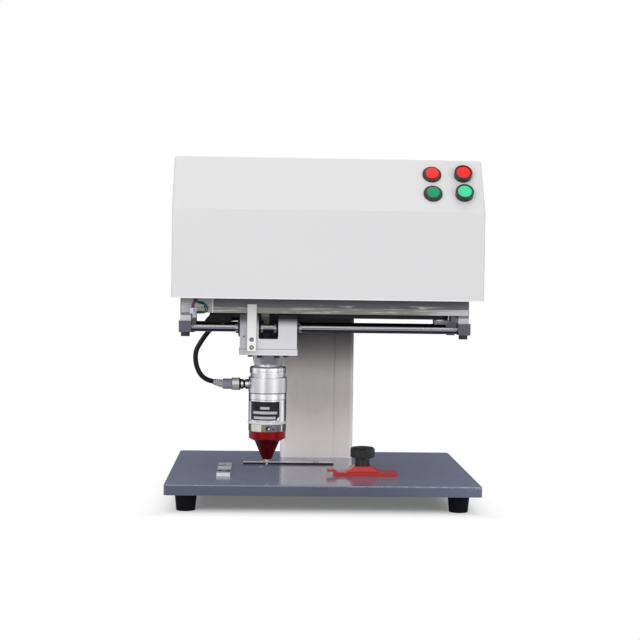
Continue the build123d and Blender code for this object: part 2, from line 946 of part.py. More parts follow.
def toothed_pulley(x, y, middle_z, bore_radius):
    """Belt pulley with trapezoid tooth gaps and a flange at each end."""
    half = belt_width / 2 + belt_float
    outer = pulley_pitch_radius
    wheel = disc(0, 0, -half, half, outer)
    gap_angle = 360 / pulley_teeth
    width = 2 * pi * outer / pulley_teeth * tooth_width_share
    gap = block(outer - tooth_depth, outer + overrun, -width / 2, width / 2, -half - overrun, half + overrun)
    wheel -= [Rot(0, 0, step * gap_angle) * gap for step in range(pulley_teeth)]
    flange_radius = outer + pulley_flange_width
    for low in (-half - pulley_flange_height, half):
        wheel += disc(0, 0, low, low + pulley_flange_height, flange_radius)
    reach = half + pulley_flange_height + overrun
    if bore_radius > 0:
        wheel -= disc(0, 0, -reach, reach, bore_radius)
    return Pos(x, y, middle_z) * wheel


def pulley_half_height():
    """Half the height of a pulley over its flanges."""
    return belt_width / 2 + belt_float + pulley_flange_height


def belt_loop(centre_a, centre_b, middle_z):
    """Closed flat belt round two pulleys."""
    low = middle_z - belt_width / 2
    dx = centre_b[0] - centre_a[0]
    dy = centre_b[1] - centre_a[1]
    length = (dx**2 + dy**2) ** 0.5
    turn = degrees(atan2(dy, dx))
    outer = SlotCenterToCenter(length, 2 * (belt_inner_radius + belt_thickness))
    inner = SlotCenterToCenter(length, 2 * belt_inner_radius)
    place = Pos((centre_a[0] + centre_b[0]) / 2, (centre_a[1] + centre_b[1]) / 2, low) * Rot(0, 0, turn)
    return place * extrude(outer - inner, belt_width)


def y_motor():
    """Motor on the frame plate that moves the bridge."""
    return [motor(0, y_motor_y, frame_top, motor_boss_height)]


def y_drive_pulley():
    """Pulley below the frame plate on the motor's shaft."""
    wheel = toothed_pulley(0, y_motor_y, y_belt_z, 0)
    shaft_bottom = y_belt_z + pulley_half_height()
    return [wheel + disc(0, y_motor_y, shaft_bottom, frame_top + shaft_depth, shaft_radius)]


def y_idler_pulley():
    """Free pulley on the stud at the front of the frame plate."""
    return [toothed_pulley(0, y_idler_y, y_belt_z, idler_stud_radius + bearing_clearance)]


def y_belt():
    """Belt that pulls the bridge."""
    return [belt_loop((0, y_idler_y), (0, y_motor_y), y_belt_z)]


def control_board():
    """Circuit board on four spacers, with its larger components."""
    x_low = board_offset - board_width / 2
    x_high = board_offset + board_width / 2
    y_low = board_setback - board_depth / 2
    y_high = board_setback + board_depth / 2
    low = frame_top + board_lift
    high = low + board_thickness
    board = block(x_low, x_high, y_low, y_high, low, high)
    for x in (x_low + spacer_inset, x_high - spacer_inset):
        for y in (y_low + spacer_inset, y_high - spacer_inset):
            board += disc(x, y, frame_top, low, spacer_radius)
    for step in (-1, 1):
        x = board_offset + step * chip_size
        y = board_setback
        half = chip_size / 2
        board += block(x - half, x + half, y, y + chip_size, high, high + chip_height)
    for step in range(capacitor_count):
        x = x_low + spacer_inset * 3 + step * capacitor_radius * 3
        board += disc(x, y_low + spacer_inset * 3, high, high + capacitor_height, capacitor_radius)
    return [board]


def left_stop_bar():
    """Bar at the left that a plate is pushed against, with a step across it."""
    y_low = base_front_y + stop_bar_front_setback
    y_high = y_low + stop_bar_length
    x_high = stop_bar_left + stop_bar_width
    top = base_top + stop_bar_height
    bar = block(stop_bar_left, x_high, y_low, y_high, base_top, top)
    step_y = y_low + stop_bar_step_share * stop_bar_length
    bar -= block(
        stop_bar_left - overrun,
        x_high + overrun,
        step_y,
        step_y + fixture_screw_head_radius,
        top - stop_bar_step,
        top + overrun,
    )
    bar = chamfer(bar.faces().sort_by(Axis.Y)[0].edges().sort_by(Axis.Z)[-1], stop_bar_chamfer)
    for x, y in stop_screw_places():
        bar -= disc(x, y, base_top - overrun, top + overrun, fixture_screw_radius + screw_clearance)
        seat = top - fixture_screw_head_height
        bar -= disc(x, y, seat, top + overrun, fixture_screw_head_radius + slide_clearance)
    return [bar]


def rear_fence():
    """Thin strip that squares the back edge of a plate, set by two slots."""
    y_low = base_front_y + fence_front_setback
    top = base_top + fence_thickness
    fence = block(fence_left, fence_left + fence_length, y_low, y_low + fence_depth, base_top, top)
    for x, y in fence_screw_places():
        slot = SlotOverall(fence_slot_length, 2 * (fixture_screw_radius + screw_clearance))
        fence -= Pos(x, y, base_top - overrun) * extrude(slot, fence_thickness + 2 * overrun)
    return [fence]


def clamp_strap():
    """Strap that holds a plate down with its raised nose, slotted for the stud."""
    half = strap_width / 2
    left = clamp_offset - strap_left
    right = clamp_offset + strap_right
    strap = block(left, right, clamp_y - half, clamp_y + half, strap_bottom, strap_top)
    strap = fillet(upright_edges(strap), strap_corner_radius)
    nose_front = clamp_y - half
    nose_rear = nose_front + strap_nose_width_share * strap_width
    nose_bottom_z = strap_bottom + strap_nose_rise
    nose_top_z = nose_bottom_z + strap_nose_thickness
    knee = strap_nose_rise
    points = [
        (left - strap_nose_length, nose_bottom_z),
        (left - strap_nose_length, nose_top_z),
        (left, nose_top_z),
        (left + knee, strap_top),
        (left + knee, strap_bottom),
        (left, nose_bottom_z),
    ]
    side = Plane.XZ.offset(-nose_rear) * make_face(Polyline(points, close=True))
    strap += extrude(side, nose_rear - nose_front)
    slot = SlotCenterToCenter(2 * strap_slot_half, 2 * (stud_radius + slide_clearance))
    cut = extrude(slot, strap_thickness + 2 * overrun)
    strap -= Pos(clamp_offset, clamp_y, strap_bottom - overrun) * cut
    return [strap]


def clamp_saddle():
    """Pressure piece with sloping sides between the strap and the knob."""
    foot = Rectangle(saddle_base_width, saddle_base_depth)
    edge_height = saddle_bottom + saddle_edge
    base = Pos(clamp_offset, clamp_y, edge_height) * foot
    top = Pos(clamp_offset, clamp_y, saddle_top) * Rectangle(saddle_top_width, saddle_top_depth)
    saddle = loft([base, top], ruled=True)
    saddle += Pos(clamp_offset, clamp_y, saddle_bottom) * extrude(foot, saddle_edge)
    bore = stud_radius + bearing_clearance
    return [saddle - disc(clamp_offset, clamp_y, saddle_bottom - overrun, saddle_top + overrun, bore)]


def clamp_knob():
    """Star knob with finger flutes, a round stem and a domed cap."""
    stem_top = knob_bottom + knob_stem_height
    head_top = stem_top + knob_height
    profile = [
        (0, stem_top),
        (knob_radius - knob_edge_chamfer / 2, stem_top),
        (knob_radius, stem_top + knob_edge_chamfer / 2),
        (knob_radius, head_top - knob_edge_chamfer),
        (knob_radius - knob_edge_chamfer, head_top),
        (knob_cap_radius, head_top + knob_dome / 2),
        (knob_cap_radius - knob_cap_recess, head_top + knob_dome / 2 - knob_cap_recess),
        (0, head_top + knob_dome / 2),
    ]
    head = turned(profile)
    reach = knob_radius + knob_flute_radius - knob_flute_bite
    for step in range(knob_lobes):
        turn = radians((step + 0.5) * 360 / knob_lobes)
        x = reach * cos(turn)
        y = reach * sin(turn)
        head -= disc(x, y, stem_top - overrun, head_top + overrun, knob_flute_radius)
    stem = disc(0, 0, knob_bottom, stem_top, knob_stem_radius)
    knob = head + stem
    stud_top = base_top + stud_length + overrun
    knob -= disc(0, 0, knob_bottom - overrun, stud_top, stud_radius + bearing_clearance)
    return [Pos(clamp_offset, clamp_y, 0) * knob]


def button_places():
    """Across and up the bevel: left pair first, the low row before the high one."""
    columns = (button_left_offset, button_right_offset)
    return [(x, rise) for x in columns for rise in (button_low_row, button_high_row)]


def bevel_frame(x, rise):
    """Frame on the bevel's outer face whose Z points out of the cover."""
    y = front_y + rise * sin(bevel_lean)
    z = bend_z + rise * cos(bevel_lean)
    return Pos(x, y, z) * Rot(90 - degrees(bevel_lean), 0, 0)


def bezel(x, rise):
    """Threaded bushing of a button with its collar outside the panel."""
    tall = x == button_right_offset
    radius = guard_radius if tall else bezel_radius
    height = guard_height if tall else bezel_height
    bore = (lit_cap_radius if tall else cap_radius) + cap_running_gap
    body = Cylinder(radius, height, align=(Align.CENTER, Align.CENTER, Align.MIN))
    body = chamfer(body.edges().sort_by(Axis.Z)[-1], bezel_chamfer)
    body += Cylinder(thread_radius, thread_length, align=(Align.CENTER, Align.CENTER, Align.MAX))
    cut = Cylinder(bore, height + thread_length + 2 * overrun)
    body -= Pos(0, 0, (height - thread_length) / 2) * cut
    return bevel_frame(x, rise) * body


def button_bezels():
    """Bushings of the four buttons: low ones at the left, tall guards at the right."""
    return [bezel(x, rise) for x, rise in button_places()]


def button_cap(x, rise):
    """Cap of one button with a gently domed face."""
    lit = x == button_right_offset
    radius = lit_cap_radius if lit else cap_radius
    proud = lit_cap_proud if lit else cap_proud
    profile = [
        (0, proud - cap_depth),
        (radius, proud - cap_depth),
        (radius, proud - cap_dome),
        (radius - cap_dome, proud - cap_dome / 4),
        (0, proud),
    ]
    return bevel_frame(x, rise) * turned(profile)


def button_switches():
    """Contact block of each button behind the bevel, with its lock nut."""
    pieces = []
    half = switch_block_size / 2
    for x, rise in button_places():
        body = block(-half, half, -half, half, -thread_length - switch_block_height, -thread_length)
        nut = disc(0, 0, -cover_sheet - button_nut_height, -cover_sheet, button_nut_radius)
        nut -= disc(0, 0, -2 * thread_length, overrun, thread_radius + screw_clearance)
        pieces.append(bevel_frame(x, rise) * body)
        pieces.append(bevel_frame(x, rise) * nut)
    return pieces


def end_plates():
    """Side plates of the bridge, hung from the bearing blocks, with a leg at each rod."""
    plates = []
    y_high = rear_rod_y + end_plate_rear_reach
    gap_front = end_plate_front_y + end_plate_leg_depth
    gap_rear = rear_rod_y - rod_clamp_depth / 2
    for side in (-1, 1):
        low, high = sorted((side * bridge_inner, side * bridge_half_width))
        plate = block(low, high, end_plate_front_y, y_high, end_plate_bottom, end_plate_top)
        plate -= block(
            low - overrun, high + overrun, gap_front, gap_rear, end_plate_bottom - overrun, beam_bottom
        )
        plates.append(plate)
    return plates


def rod_clamps():
    """Clamps below the end plates that hold the rods, each with its bolt."""
    pieces = []
    low_z = rod_z - rod_clamp_below
    for side in (-1, 1):
        inner = bridge_inner - rod_clamp_proud
        outer = bridge_half_width + rod_clamp_side_proud
        low, high = sorted((side * inner, side * outer))
        for y in (front_rod_y, rear_rod_y):
            half = rod_clamp_depth / 2
            clamp = block(low, high, y - half, y + half, low_z, end_plate_bottom)
            lower = clamp.faces().sort_by(Axis.Z)[0].edges()
            clamp = chamfer(lower, rod_clamp_chamfer)
            clamp -= disc_along_x(low - overrun, high + overrun, y, rod_z, rod_radius + screw_clearance)
            pieces.append(clamp)
            pieces.append(disc((low + high) / 2, y, low_z - clamp_bolt_height, low_z, clamp_bolt_radius))
    return pieces


def guide_rods():
    """Ground rods that the carriage runs on."""
    reach = bridge_half_width - rod_end_inset
    return [disc_along_x(-reach, reach, y, rod_z, rod_radius) for y in (front_rod_y, rear_rod_y)]


def gantry_beam():
    """Bent sheet beam that spans the end plates, with a lip along its lower front edge."""
    notch_x = -bridge_inner + beam_notch_width
    end_x = bridge_half_width - beam_end_inset
    lip_top = beam_bottom + beam_lip_height
    beam = block(-bridge_inner, bridge_inner, beam_face_y, beam_rear_y, beam_top - beam_plate, beam_top)
    beam += block(notch_x, end_x, beam_face_y, end_plate_front_y, beam_bottom, beam_top)
    beam += block(notch_x, end_x, beam_front_y, end_plate_front_y, beam_bottom, lip_top)
    beam += block(
        -bridge_inner, bridge_inner, beam_rear_y - beam_sheet, beam_rear_y, beam_bottom, beam_top
    )
    for x, radius in ((x_motor_offset, motor_boss_radius), (x_idler_offset, idler_stud_radius)):
        beam -= disc(x, x_belt_y, beam_bottom, beam_top + overrun, radius + screw_clearance)
    beam += block(-end_x, notch_x, switch_bracket_y, end_plate_front_y, beam_bottom, beam_top)
    tab_front = beam_front_y - beam_tab_reach
    beam += block(-bridge_inner, notch_x, tab_front, beam_face_y, beam_top - beam_plate, beam_top)
    return [beam]


def x_motor():
    """Motor on the beam that moves the carriage, with the guard in front of its pulley."""
    left = -bridge_inner + guard_inset
    right = left + guard_width
    low = rod_z + guard_rise
    top = beam_top - beam_plate
    points = [
        (left, low),
        (right, low),
        (right, top),
        (left + guard_corner_width, top),
        (left + guard_corner_width, low + guard_corner_height),
        (left, low + guard_corner_start),
    ]
    side = Plane.XZ.offset(guard_setback - x_belt_y) * make_face(Polyline(points, close=True))
    guard = extrude(side, guard_thickness)
    return [motor(x_motor_offset, x_belt_y, beam_top, motor_boss_height), guard]


def x_drive_pulley():
    """Pulley below the beam on the motor's shaft."""
    wheel = toothed_pulley(x_motor_offset, x_belt_y, x_belt_z, 0)
    shaft_bottom = x_belt_z + pulley_half_height()
    return [wheel + disc(x_motor_offset, x_belt_y, shaft_bottom, beam_top + shaft_depth, shaft_radius)]


def x_idler_pulley():
    """Free pulley at the right end of the beam."""
    return [toothed_pulley(x_idler_offset, x_belt_y, x_belt_z, idler_stud_radius + bearing_clearance)]


def idler_yoke():
    """Stud of the idler with the block that ends it, and the tension block on the end plate."""
    bottom = x_belt_z - pulley_half_height() - screw_clearance
    top = x_belt_z + pulley_half_height() + screw_clearance
    half = yoke_width / 2
    x = x_idler_offset
    y = x_belt_y
    yoke = block(x - half, x + half, y - half, y + half, bottom - yoke_height, bottom)
    yoke += disc(x_idler_offset, x_belt_y, bottom, beam_top, idler_stud_radius)
    yoke += disc(x_idler_offset, x_belt_y, top, beam_top - beam_plate, idler_washer_radius)
    low = x_belt_z - tension_block_height / 2
    tension = block(
        bridge_inner - tension_block_width,
        bridge_inner,
        x_belt_y - tension_block_depth / 2,
        x_belt_y + tension_block_depth / 2,
        low,
        low + tension_block_height,
    )
    return [yoke, tension]


def x_belt():
    """Belt that pulls the carriage."""
    return [belt_loop((x_motor_offset, x_belt_y), (x_idler_offset, x_belt_y), x_belt_z)]


def belt_slot(run_middle, along_x, middle_z, reach):
    """Space round one run of a belt, with its clearance."""
    half = belt_thickness / 2 + belt_clearance
    low = middle_z - belt_width / 2 - belt_clearance
    high = middle_z + belt_width / 2 + belt_clearance
    x, y = run_middle
    if along_x:
        return block(x - reach, x + reach, y - half, y + half, low, high)
    return block(x - half, x + half, y - reach, y + reach, low, high)


def y_belt_clamp():
    """Post on the beam that grips one run of the bridge's belt."""
    x = -belt_inner_radius - belt_thickness / 2
    y = (front_rod_y + rear_rod_y) / 2
    half = belt_clamp_width / 2
    top = y_belt_z + belt_width / 2 + belt_clearance + belt_clamp_margin
    across = belt_clamp_neck / 2 + belt_thickness / 2
    post = block(x - across, x + across, y - half, y + half, beam_top, top)
    return [post - belt_slot((x, y), False, y_belt_z, belt_clamp_width)]


def limit_switch():
    """Home switch at the left end plate with its short leads, and the grommet of its wires."""
    y_high = switch_bracket_y
    y_low = y_high - switch_depth
    low = rod_z + switch_rise
    top = low + switch_height
    left = -bridge_inner - switch_end_lap
    right = left + switch_length
    body = block(left, left + switch_terminal_length, y_low, y_high, low, top)
    body += block(left, right, y_low, y_high, low + switch_body_lift, top)
    lever_low = low + switch_body_lift + wire_radius
    body += block(
        right,
        right + switch_lever_length,
        y_high - switch_bracket_thickness,
        y_high - switch_bracket_thickness / 2,
        lever_low,
        lever_low + switch_lever_height,
    )
    gx, gy = grommet_place()
    grommet = disc(gx, gy, grommet_bottom(), beam_top - beam_plate, grommet_radius)
    lead = cord_tube(from_end_plate(brown_route), wire_radius, "brown lead")
    leads = [Pos(-step * brown_wire_pitch, 0, 0) * lead for step in range(brown_wire_count)]
    return [body, grommet, *leads]


def grommet_place():
    """Centre of the grommet under the beam."""
    return (-bridge_inner + grommet_offset, switch_bracket_y - grommet_gap - grommet_radius)


def grommet_bottom():
    """Lower face of the grommet."""
    return beam_top - beam_plate - grommet_height


# Route of the home switch's green wires, from the grommet round to the switch's terminal,
# and of its brown leads, counted from the left end plate and the middle of the front rod
green_route = [
    (5.9, -15.3, 38.9),
    (10.6, -15.3, 35.1),
    (20.5, -15.3, 33.9),
    (23.98, -15.3, 30.04),
    (23.9, -15.3, 25.24),
    (20.57, -15.3, 21.79),
    (13.99, -15.3, 21.33),
    (8.0, -15.3, 21.33),
]
green_wire_shifts = [(0.0, 0.0, 0.0), (-1.4, 1.0, 1.5), (0.0, 2.0, 0.2)]
brown_route = [
    (7.9, -11.4, 38.9),
    (3.9, -11.4, 34.4),
    (3.9, -11.4, 28.8),
]


def green_wire(shift):
    """Route of one green wire, whose two ends stay on the grommet and on the terminal."""
    along, across, up = shift
    points = [(x + along, y + across, z + up) for x, y, z in green_route]
    first_x, first_y, _ = points[0]
    _, last_y, last_z = points[-1]
    points[0] = (first_x, first_y, green_route[0][2])
    points[-1] = (green_route[-1][0], last_y, last_z)
    return points


def from_end_plate(route):
    """Route of a wire at its place on the bridge."""
    return [(x - bridge_inner, y + front_rod_y, z + rod_z) for x, y, z in route]


# Bends of the head's cable, counted from the tip of the boot, up to the last run into the gland
head_cable_bends = [
    (-16.4, 0.0, 6.8),
    (-22.2, -0.4, 14.3),
    (-26.7, -1.2, 26.5),
    (-27.3, -2.0, 44.0),
    (-20.5, -2.2, 56.9),
    (-9.2, -1.8, 73.6),
    (3.6, -1.0, 85.4),
]
head_cable_first_run = 8.5
head_cable_last_run = 14.2


def boot_tip():
    """Point where the cable leaves the boot."""
    bend = carriage_home - sleeve_radius - socket_length - nut_length - boot_length
    along = boot_taper_length * cos(radians(boot_tilt))
    return Vector(bend - along, head_y, socket_z + boot_taper_length * sin(radians(boot_tilt)))


def head_cable_points():
    """Route of the head's cable, from the boot to the gland."""
    tip = boot_tip()
    tilt = radians(boot_tilt)
    first = tip + Vector(-cos(tilt), 0, sin(tilt)) * head_cable_first_run
    bends = [tip + Vector(*bend) for bend in head_cable_bends]
    last = Vector(gland_x - head_cable_last_run, head_y, gland_z)
    end = Vector(gland_x, head_y, gland_z)
    return [tuple(point) for point in [tip, first, *bends, last, end]]


def cord_path(route, name):
    """Straight runs joined by tangent arcs, each as large as its two runs allow."""
    points = [Vector(*point) for point in route]
    runs = [after - before for before, after in zip(points, points[1:])]
    arcs = []
    for before, after in zip(runs, runs[1:]):
        turn = radians(before.get_angle(after))
        arcs.append(0.45 * min(before.length, after.length) / tan(turn / 2))
    print(name, "arc radii", [round(radius, 1) for radius in arcs])
    return FilletPolyline(*route, radius=arcs)


def cord_tube(route, radius, name):
    """Round tube along a route."""
    path = cord_path(route, name)
    start = Plane(origin=path @ 0, z_dir=path % 0)
    tube = sweep(start * Circle(radius), path=path)
    expected = pi * radius**2 * path.length
    print(name, "length", round(path.length, 1), "volume share", round(tube.volume / expected, 4))
    return tube


def switch_wires():
    """Thin wires that bend round in front of the home switch."""
    return [
        cord_tube(from_end_plate(green_wire(shift)), wire_radius, "green wire") for shift in green_wire_shifts
    ]


def carriage_fork():
    """Front block of the carriage, a fork whose lugs hold the front bearings."""
    half = carriage_width / 2
    x = carriage_home
    fork = block(x - half, x + half, fork_front_y, fork_rear_y, fork_bottom, fork_top)
    slot_half = fork_slot_width / 2
    slot = block(
        x - slot_half,
        x + slot_half,
        fork_front_y - overrun,
        fork_rear_y + overrun,
        fork_bottom + fork_slot_floor,
        fork_top + fork_slot_floor,
    )
    lower = slot.edges().filter_by(Axis.Y).sort_by(Axis.Z)[:2]
    fork -= fillet(lower, fork_slot_radius)
    for side in (-1, 1):
        centre = x + side * lug_centre
        fork -= disc_along_x(
            centre - lug_width / 2 - overrun,
            centre + lug_width / 2 + overrun,
            front_rod_y,
            rod_z,
            bearing_radius + screw_clearance,
        )
    for rise in flag_screw_rises:
        z = fork_bottom + rise
        if z > fork_bottom:
            fork -= disc_along_y(
                x - flag_offset,
                fork_front_y - overrun,
                fork_front_y + flag_screw_length - flag_thickness + overrun,
                z,
                flag_screw_radius + screw_clearance,
            )
    fork -= disc_along_y(
        x - index_hole_offset,
        fork_front_y - overrun,
        fork_front_y + index_hole_depth,
        fork_bottom + index_hole_rise,
        index_hole_radius,
    )
    return [fork]


def carriage_plate():
    """Plate under the fork that carries the head, with the rear lug on it."""
    x = carriage_home
    half = carriage_width / 2 + carriage_plate_margin
    lug_rear = rear_rod_y + rear_lug_depth / 2
    plate_rear = lug_rear + carriage_plate_margin
    plate = block(x - half, x + half, fork_front_y, plate_rear, plate_bottom, fork_bottom)
    lug_half = carriage_width / 2
    lug = block(
        x - lug_half,
        x + lug_half,
        rear_rod_y - rear_lug_depth / 2,
        lug_rear,
        fork_bottom,
        rod_z + rear_lug_rise,
    )
    plate += lug
    plate -= disc_along_x(
        x - half - overrun, x + half + overrun, rear_rod_y, rod_z, bearing_radius + screw_clearance
    )
    hole_radius = neck_screw_radius + screw_clearance
    for hole_x, hole_y in neck_screw_places():
        plate -= disc(hole_x, hole_y, plate_bottom - overrun, plate_bottom + neck_screw_length, hole_radius)
    return [plate]


def bearing_places():
    """Lug of each bearing: its low end, its high end and its rod."""
    x = carriage_home
    places = []
    for side in (-1, 1):
        centre = x + side * lug_centre
        places.append((centre - lug_width / 2, centre + lug_width / 2, front_rod_y))
        outer = x + side * carriage_width / 2
        inner = outer - side * lug_width
        low, high = sorted((outer, inner))
        places.append((low, high, rear_rod_y))
    return places


def linear_bearings():
    """Ball bushings in the lugs, each with a bright collar at its ends."""
    bearings = []
    bore = rod_radius + bearing_clearance
    for low, high, y in bearing_places():
        start = low - bearing_overhang
        end = high + bearing_overhang
        body = disc_along_x(start, end, y, rod_z, bearing_radius)
        collar_start = start - bearing_collar_length
        collar_end = end + bearing_collar_length
        body += disc_along_x(collar_start, collar_end, y, rod_z, bearing_collar_radius)
        bearings.append(body - disc_along_x(collar_start - overrun, collar_end + overrun, y, rod_z, bore))
    return bearings


def bearing_seals():
    """Black rings round the bushings, against both faces of each lug."""
    rings = []
    for low, high, y in bearing_places():
        if y == rear_rod_y:
            faces = [(low - seal_thickness, low)] if low < carriage_home - fork_slot_width else []
            faces += [(high, high + seal_thickness)] if high > carriage_home + fork_slot_width else []
        else:
            faces = [(low - seal_thickness, low), (high, high + seal_thickness)]
        for start, end in faces:
            ring = disc_along_x(start, end, y, rod_z, seal_radius)
            ring -= disc_along_x(start - overrun, end + overrun, y, rod_z, bearing_radius + screw_clearance)
            rings.append(ring)
    return rings


def flag_strip():
    """Bright strip on the fork that trips the home switch."""
    x = carriage_home - flag_offset
    low = fork_bottom - flag_drop
    half = flag_width / 2
    strip = block(x - half, x + half, fork_front_y - flag_thickness, fork_front_y, low, low + flag_height)
    for rise in flag_screw_rises:
        strip -= disc_along_y(
            x,
            fork_front_y - flag_thickness - overrun,
            fork_front_y + overrun,
            fork_bottom + rise,
            flag_screw_radius + screw_clearance,
        )
    return [strip]


def neck_screw_places():
    """Centres of the screws round the neck's flange."""
    places = []
    for step in range(neck_screw_count):
        turn = 2 * pi * step / neck_screw_count
        places.append((carriage_home + neck_screw_circle * cos(turn), head_y + neck_screw_circle * sin(turn)))
    return places


def head_screws():
    """Screws of the flag strip and of the neck's flange."""
    screws = []
    x = carriage_home - flag_offset
    face = fork_front_y - flag_thickness
    for rise in flag_screw_rises:
        z = fork_bottom + rise
        screw = disc_along_y(x, face - flag_screw_head_height, face, z, flag_screw_head_radius)
        screws.append(screw + disc_along_y(x, face, face + flag_screw_length, z, flag_screw_radius))
    flange_bottom = plate_bottom - neck_flange_height
    for x, y in neck_screw_places():
        screw = disc(x, y, flange_bottom - neck_screw_head_height, flange_bottom, neck_screw_head_radius)
        shank_top = flange_bottom + neck_screw_length
        screws.append(screw + disc(x, y, flange_bottom, shank_top, neck_screw_radius))
    return screws


def belt_clamp():
    """Post on the carriage that grips the front run of the belt."""
    x = carriage_home - belt_clamp_offset
    y = x_belt_y - belt_inner_radius - belt_thickness / 2
    neck = belt_clamp_neck / 2
    head_bottom = x_belt_z - belt_width / 2 - belt_clearance - belt_clamp_margin
    head_top = x_belt_z + belt_width / 2 + belt_clearance + belt_clamp_margin / 2
    across = belt_clamp_depth / 2
    post = block(x - neck, x + neck, y - neck, y + neck, fork_bottom, head_bottom)
    rear = y + belt_thickness / 2 + belt_clearance + neck
    post += block(x - neck - belt_clamp_margin, x + neck, y - across, rear, head_bottom, head_top)
    return [post - belt_slot((x, y), True, x_belt_z, 2 * belt_clamp_width)]


def cable_gland():
    """Gland of the head's cable and the angle that holds it on the carriage."""
    x_face = gland_x
    wall_high = x_face + gland_length + cable_bracket_thickness
    wall_low = x_face + gland_length
    half = cable_bracket_width / 2
    front = head_y - half
    rear = head_y + half
    bracket_top = gland_z + gland_cap_radius + cable_bracket_thickness
    bracket = block(wall_low, wall_high, front, rear, fork_bottom, bracket_top)
    foot_top = fork_bottom + cable_bracket_thickness
    bracket += block(wall_high, wall_high + half, front, rear, fork_bottom, foot_top)
    body = disc_along_x(x_face, wall_low - gland_hex_length, head_y, gland_z, gland_cap_radius)
    hexagon = Rot(0, 90, 0) * extrude(RegularPolygon(gland_hex, 6), gland_hex_length)
    return [bracket, body + Pos(wall_low - gland_hex_length, head_y, gland_z) * hexagon]


def head_neck():
    """Neck that joins the head to the carriage plate."""
    top = plate_bottom
    under_flange = top - neck_flange_height
    profile = [
        (0, neck_bottom),
        (neck_band_radius, neck_bottom),
        (neck_band_radius, neck_bottom + neck_band_height),
        (neck_bottom_radius, neck_bottom + neck_band_height),
        (neck_top_radius, under_flange),
        (neck_flange_radius, under_flange),
        (neck_flange_radius, top),
        (0, top),
    ]
    neck = Pos(carriage_home, head_y, 0) * turned(profile)
    for x, y in neck_screw_places():
        neck -= disc(x, y, under_flange - overrun, top + overrun, neck_screw_radius + screw_clearance)
        recess = under_flange - neck_screw_head_height
        neck -= disc(x, y, recess, under_flange, neck_screw_head_radius + screw_clearance)
    return [neck]


def clamp_ring():
    """Clamping ring with grip slots and a chamfered upper edge."""
    profile = [
        (0, ring_bottom),
        (ring_radius, ring_bottom),
        (ring_radius, neck_bottom - ring_chamfer),
        (ring_radius - ring_chamfer, neck_bottom),
        (0, neck_bottom),
    ]
    ring = turned(profile)
    for step in range(ring_slot_count):
        slot = block(
            ring_radius - ring_slot_depth,
            ring_radius + overrun,
            -ring_slot_width / 2,
            ring_slot_width / 2,
            ring_bottom + ring_chamfer,
            neck_bottom - ring_chamfer,
        )
        ring -= Rot(0, 0, (step + 0.5) * 360 / ring_slot_count) * slot
    return [Pos(carriage_home, head_y, 0) * ring]


def connector_sleeve():
    """Collar and satin sleeve in one turned piece, bored for the socket."""
    profile = [
        (0, sleeve_bottom),
        (sleeve_radius - belt_float, sleeve_bottom),
        (sleeve_radius, sleeve_bottom + belt_float),
        (sleeve_radius, collar_bottom - belt_float),
        (sleeve_radius - belt_float, collar_bottom),
        (collar_radius, collar_bottom),
        (collar_radius, ring_bottom),
        (0, ring_bottom),
    ]
    sleeve = Pos(carriage_home, head_y, 0) * turned(profile)
    seat = carriage_home - sleeve_radius + belt_float
    sleeve -= disc_along_x(seat - 2 * overrun, seat, head_y, socket_z, socket_radius + screw_clearance)
    return [sleeve]


def head_body():
    """Polished casing round the coil, open below."""
    groove_top = sleeve_bottom - body_height * body_groove_share
    profile = [
        (body_radius - body_wall, body_bottom),
        (body_radius, body_bottom),
        (body_radius, groove_top - body_groove_width),
        (body_radius - body_groove_depth, groove_top - body_groove_width),
        (body_radius - body_groove_depth, groove_top),
        (body_radius, groove_top),
        (body_radius, sleeve_bottom),
        (0, sleeve_bottom),
        (0, sleeve_bottom - body_wall),
        (body_radius - body_wall, sleeve_bottom - body_wall),
    ]
    return [Pos(carriage_home, head_y, 0) * turned(profile)]


def label_plate():
    """Thin bare plate curved round the lower part of the casing."""
    low = body_bottom + label_edge_gap
    high = sleeve_bottom - body_height * body_groove_share - body_groove_width - label_edge_gap
    inner = body_radius + screw_clearance
    outer = inner + label_thickness
    section = Pos((inner + outer) / 2, 0, 0) * Rectangle(label_thickness, high - low)
    strip = Rot(0, 0, label_turn - label_span / 2) * revolve(Plane.XZ * section, Axis.Z, label_span)
    return [Pos(carriage_home, head_y, (low + high) / 2) * strip]


def solenoid_coil():
    """Wound coil in the casing that drives the armature down."""
    top = sleeve_bottom - body_wall
    bore = armature_radius + coil_bore_clearance
    profile = [
        (bore, top - coil_height),
        (coil_radius, top - coil_height),
        (coil_radius, top),
        (bore, top),
    ]
    return [Pos(carriage_home, head_y, 0) * turned(profile)]


def seal_ring():
    """Pale ring between the casing and the scale ring."""
    middle = (body_bottom + seal_ring_bottom) / 2
    inner = body_radius - body_wall
    profile = [
        (inner, seal_ring_bottom),
        (body_radius, seal_ring_bottom),
        (seal_ring_radius, middle - seal_ring_height / 4),
        (seal_ring_radius, middle + seal_ring_height / 4),
        (body_radius, body_bottom),
        (inner, body_bottom),
    ]
    return [Pos(carriage_home, head_y, 0) * turned(profile)]


def scale_ring():
    """Adjusting ring above the nose, with a fine groove at each edge."""
    inner = body_radius - body_wall
    groove = body_radius - scale_ring_groove
    profile = [
        (inner, scale_ring_bottom),
        (groove, scale_ring_bottom),
        (groove, scale_ring_bottom + scale_ring_groove),
        (body_radius, scale_ring_bottom + scale_ring_groove),
        (body_radius, seal_ring_bottom - scale_ring_groove),
        (groove, seal_ring_bottom - scale_ring_groove),
        (groove, seal_ring_bottom),
        (inner, seal_ring_bottom),
    ]
    return [Pos(carriage_home, head_y, 0) * turned(profile)]


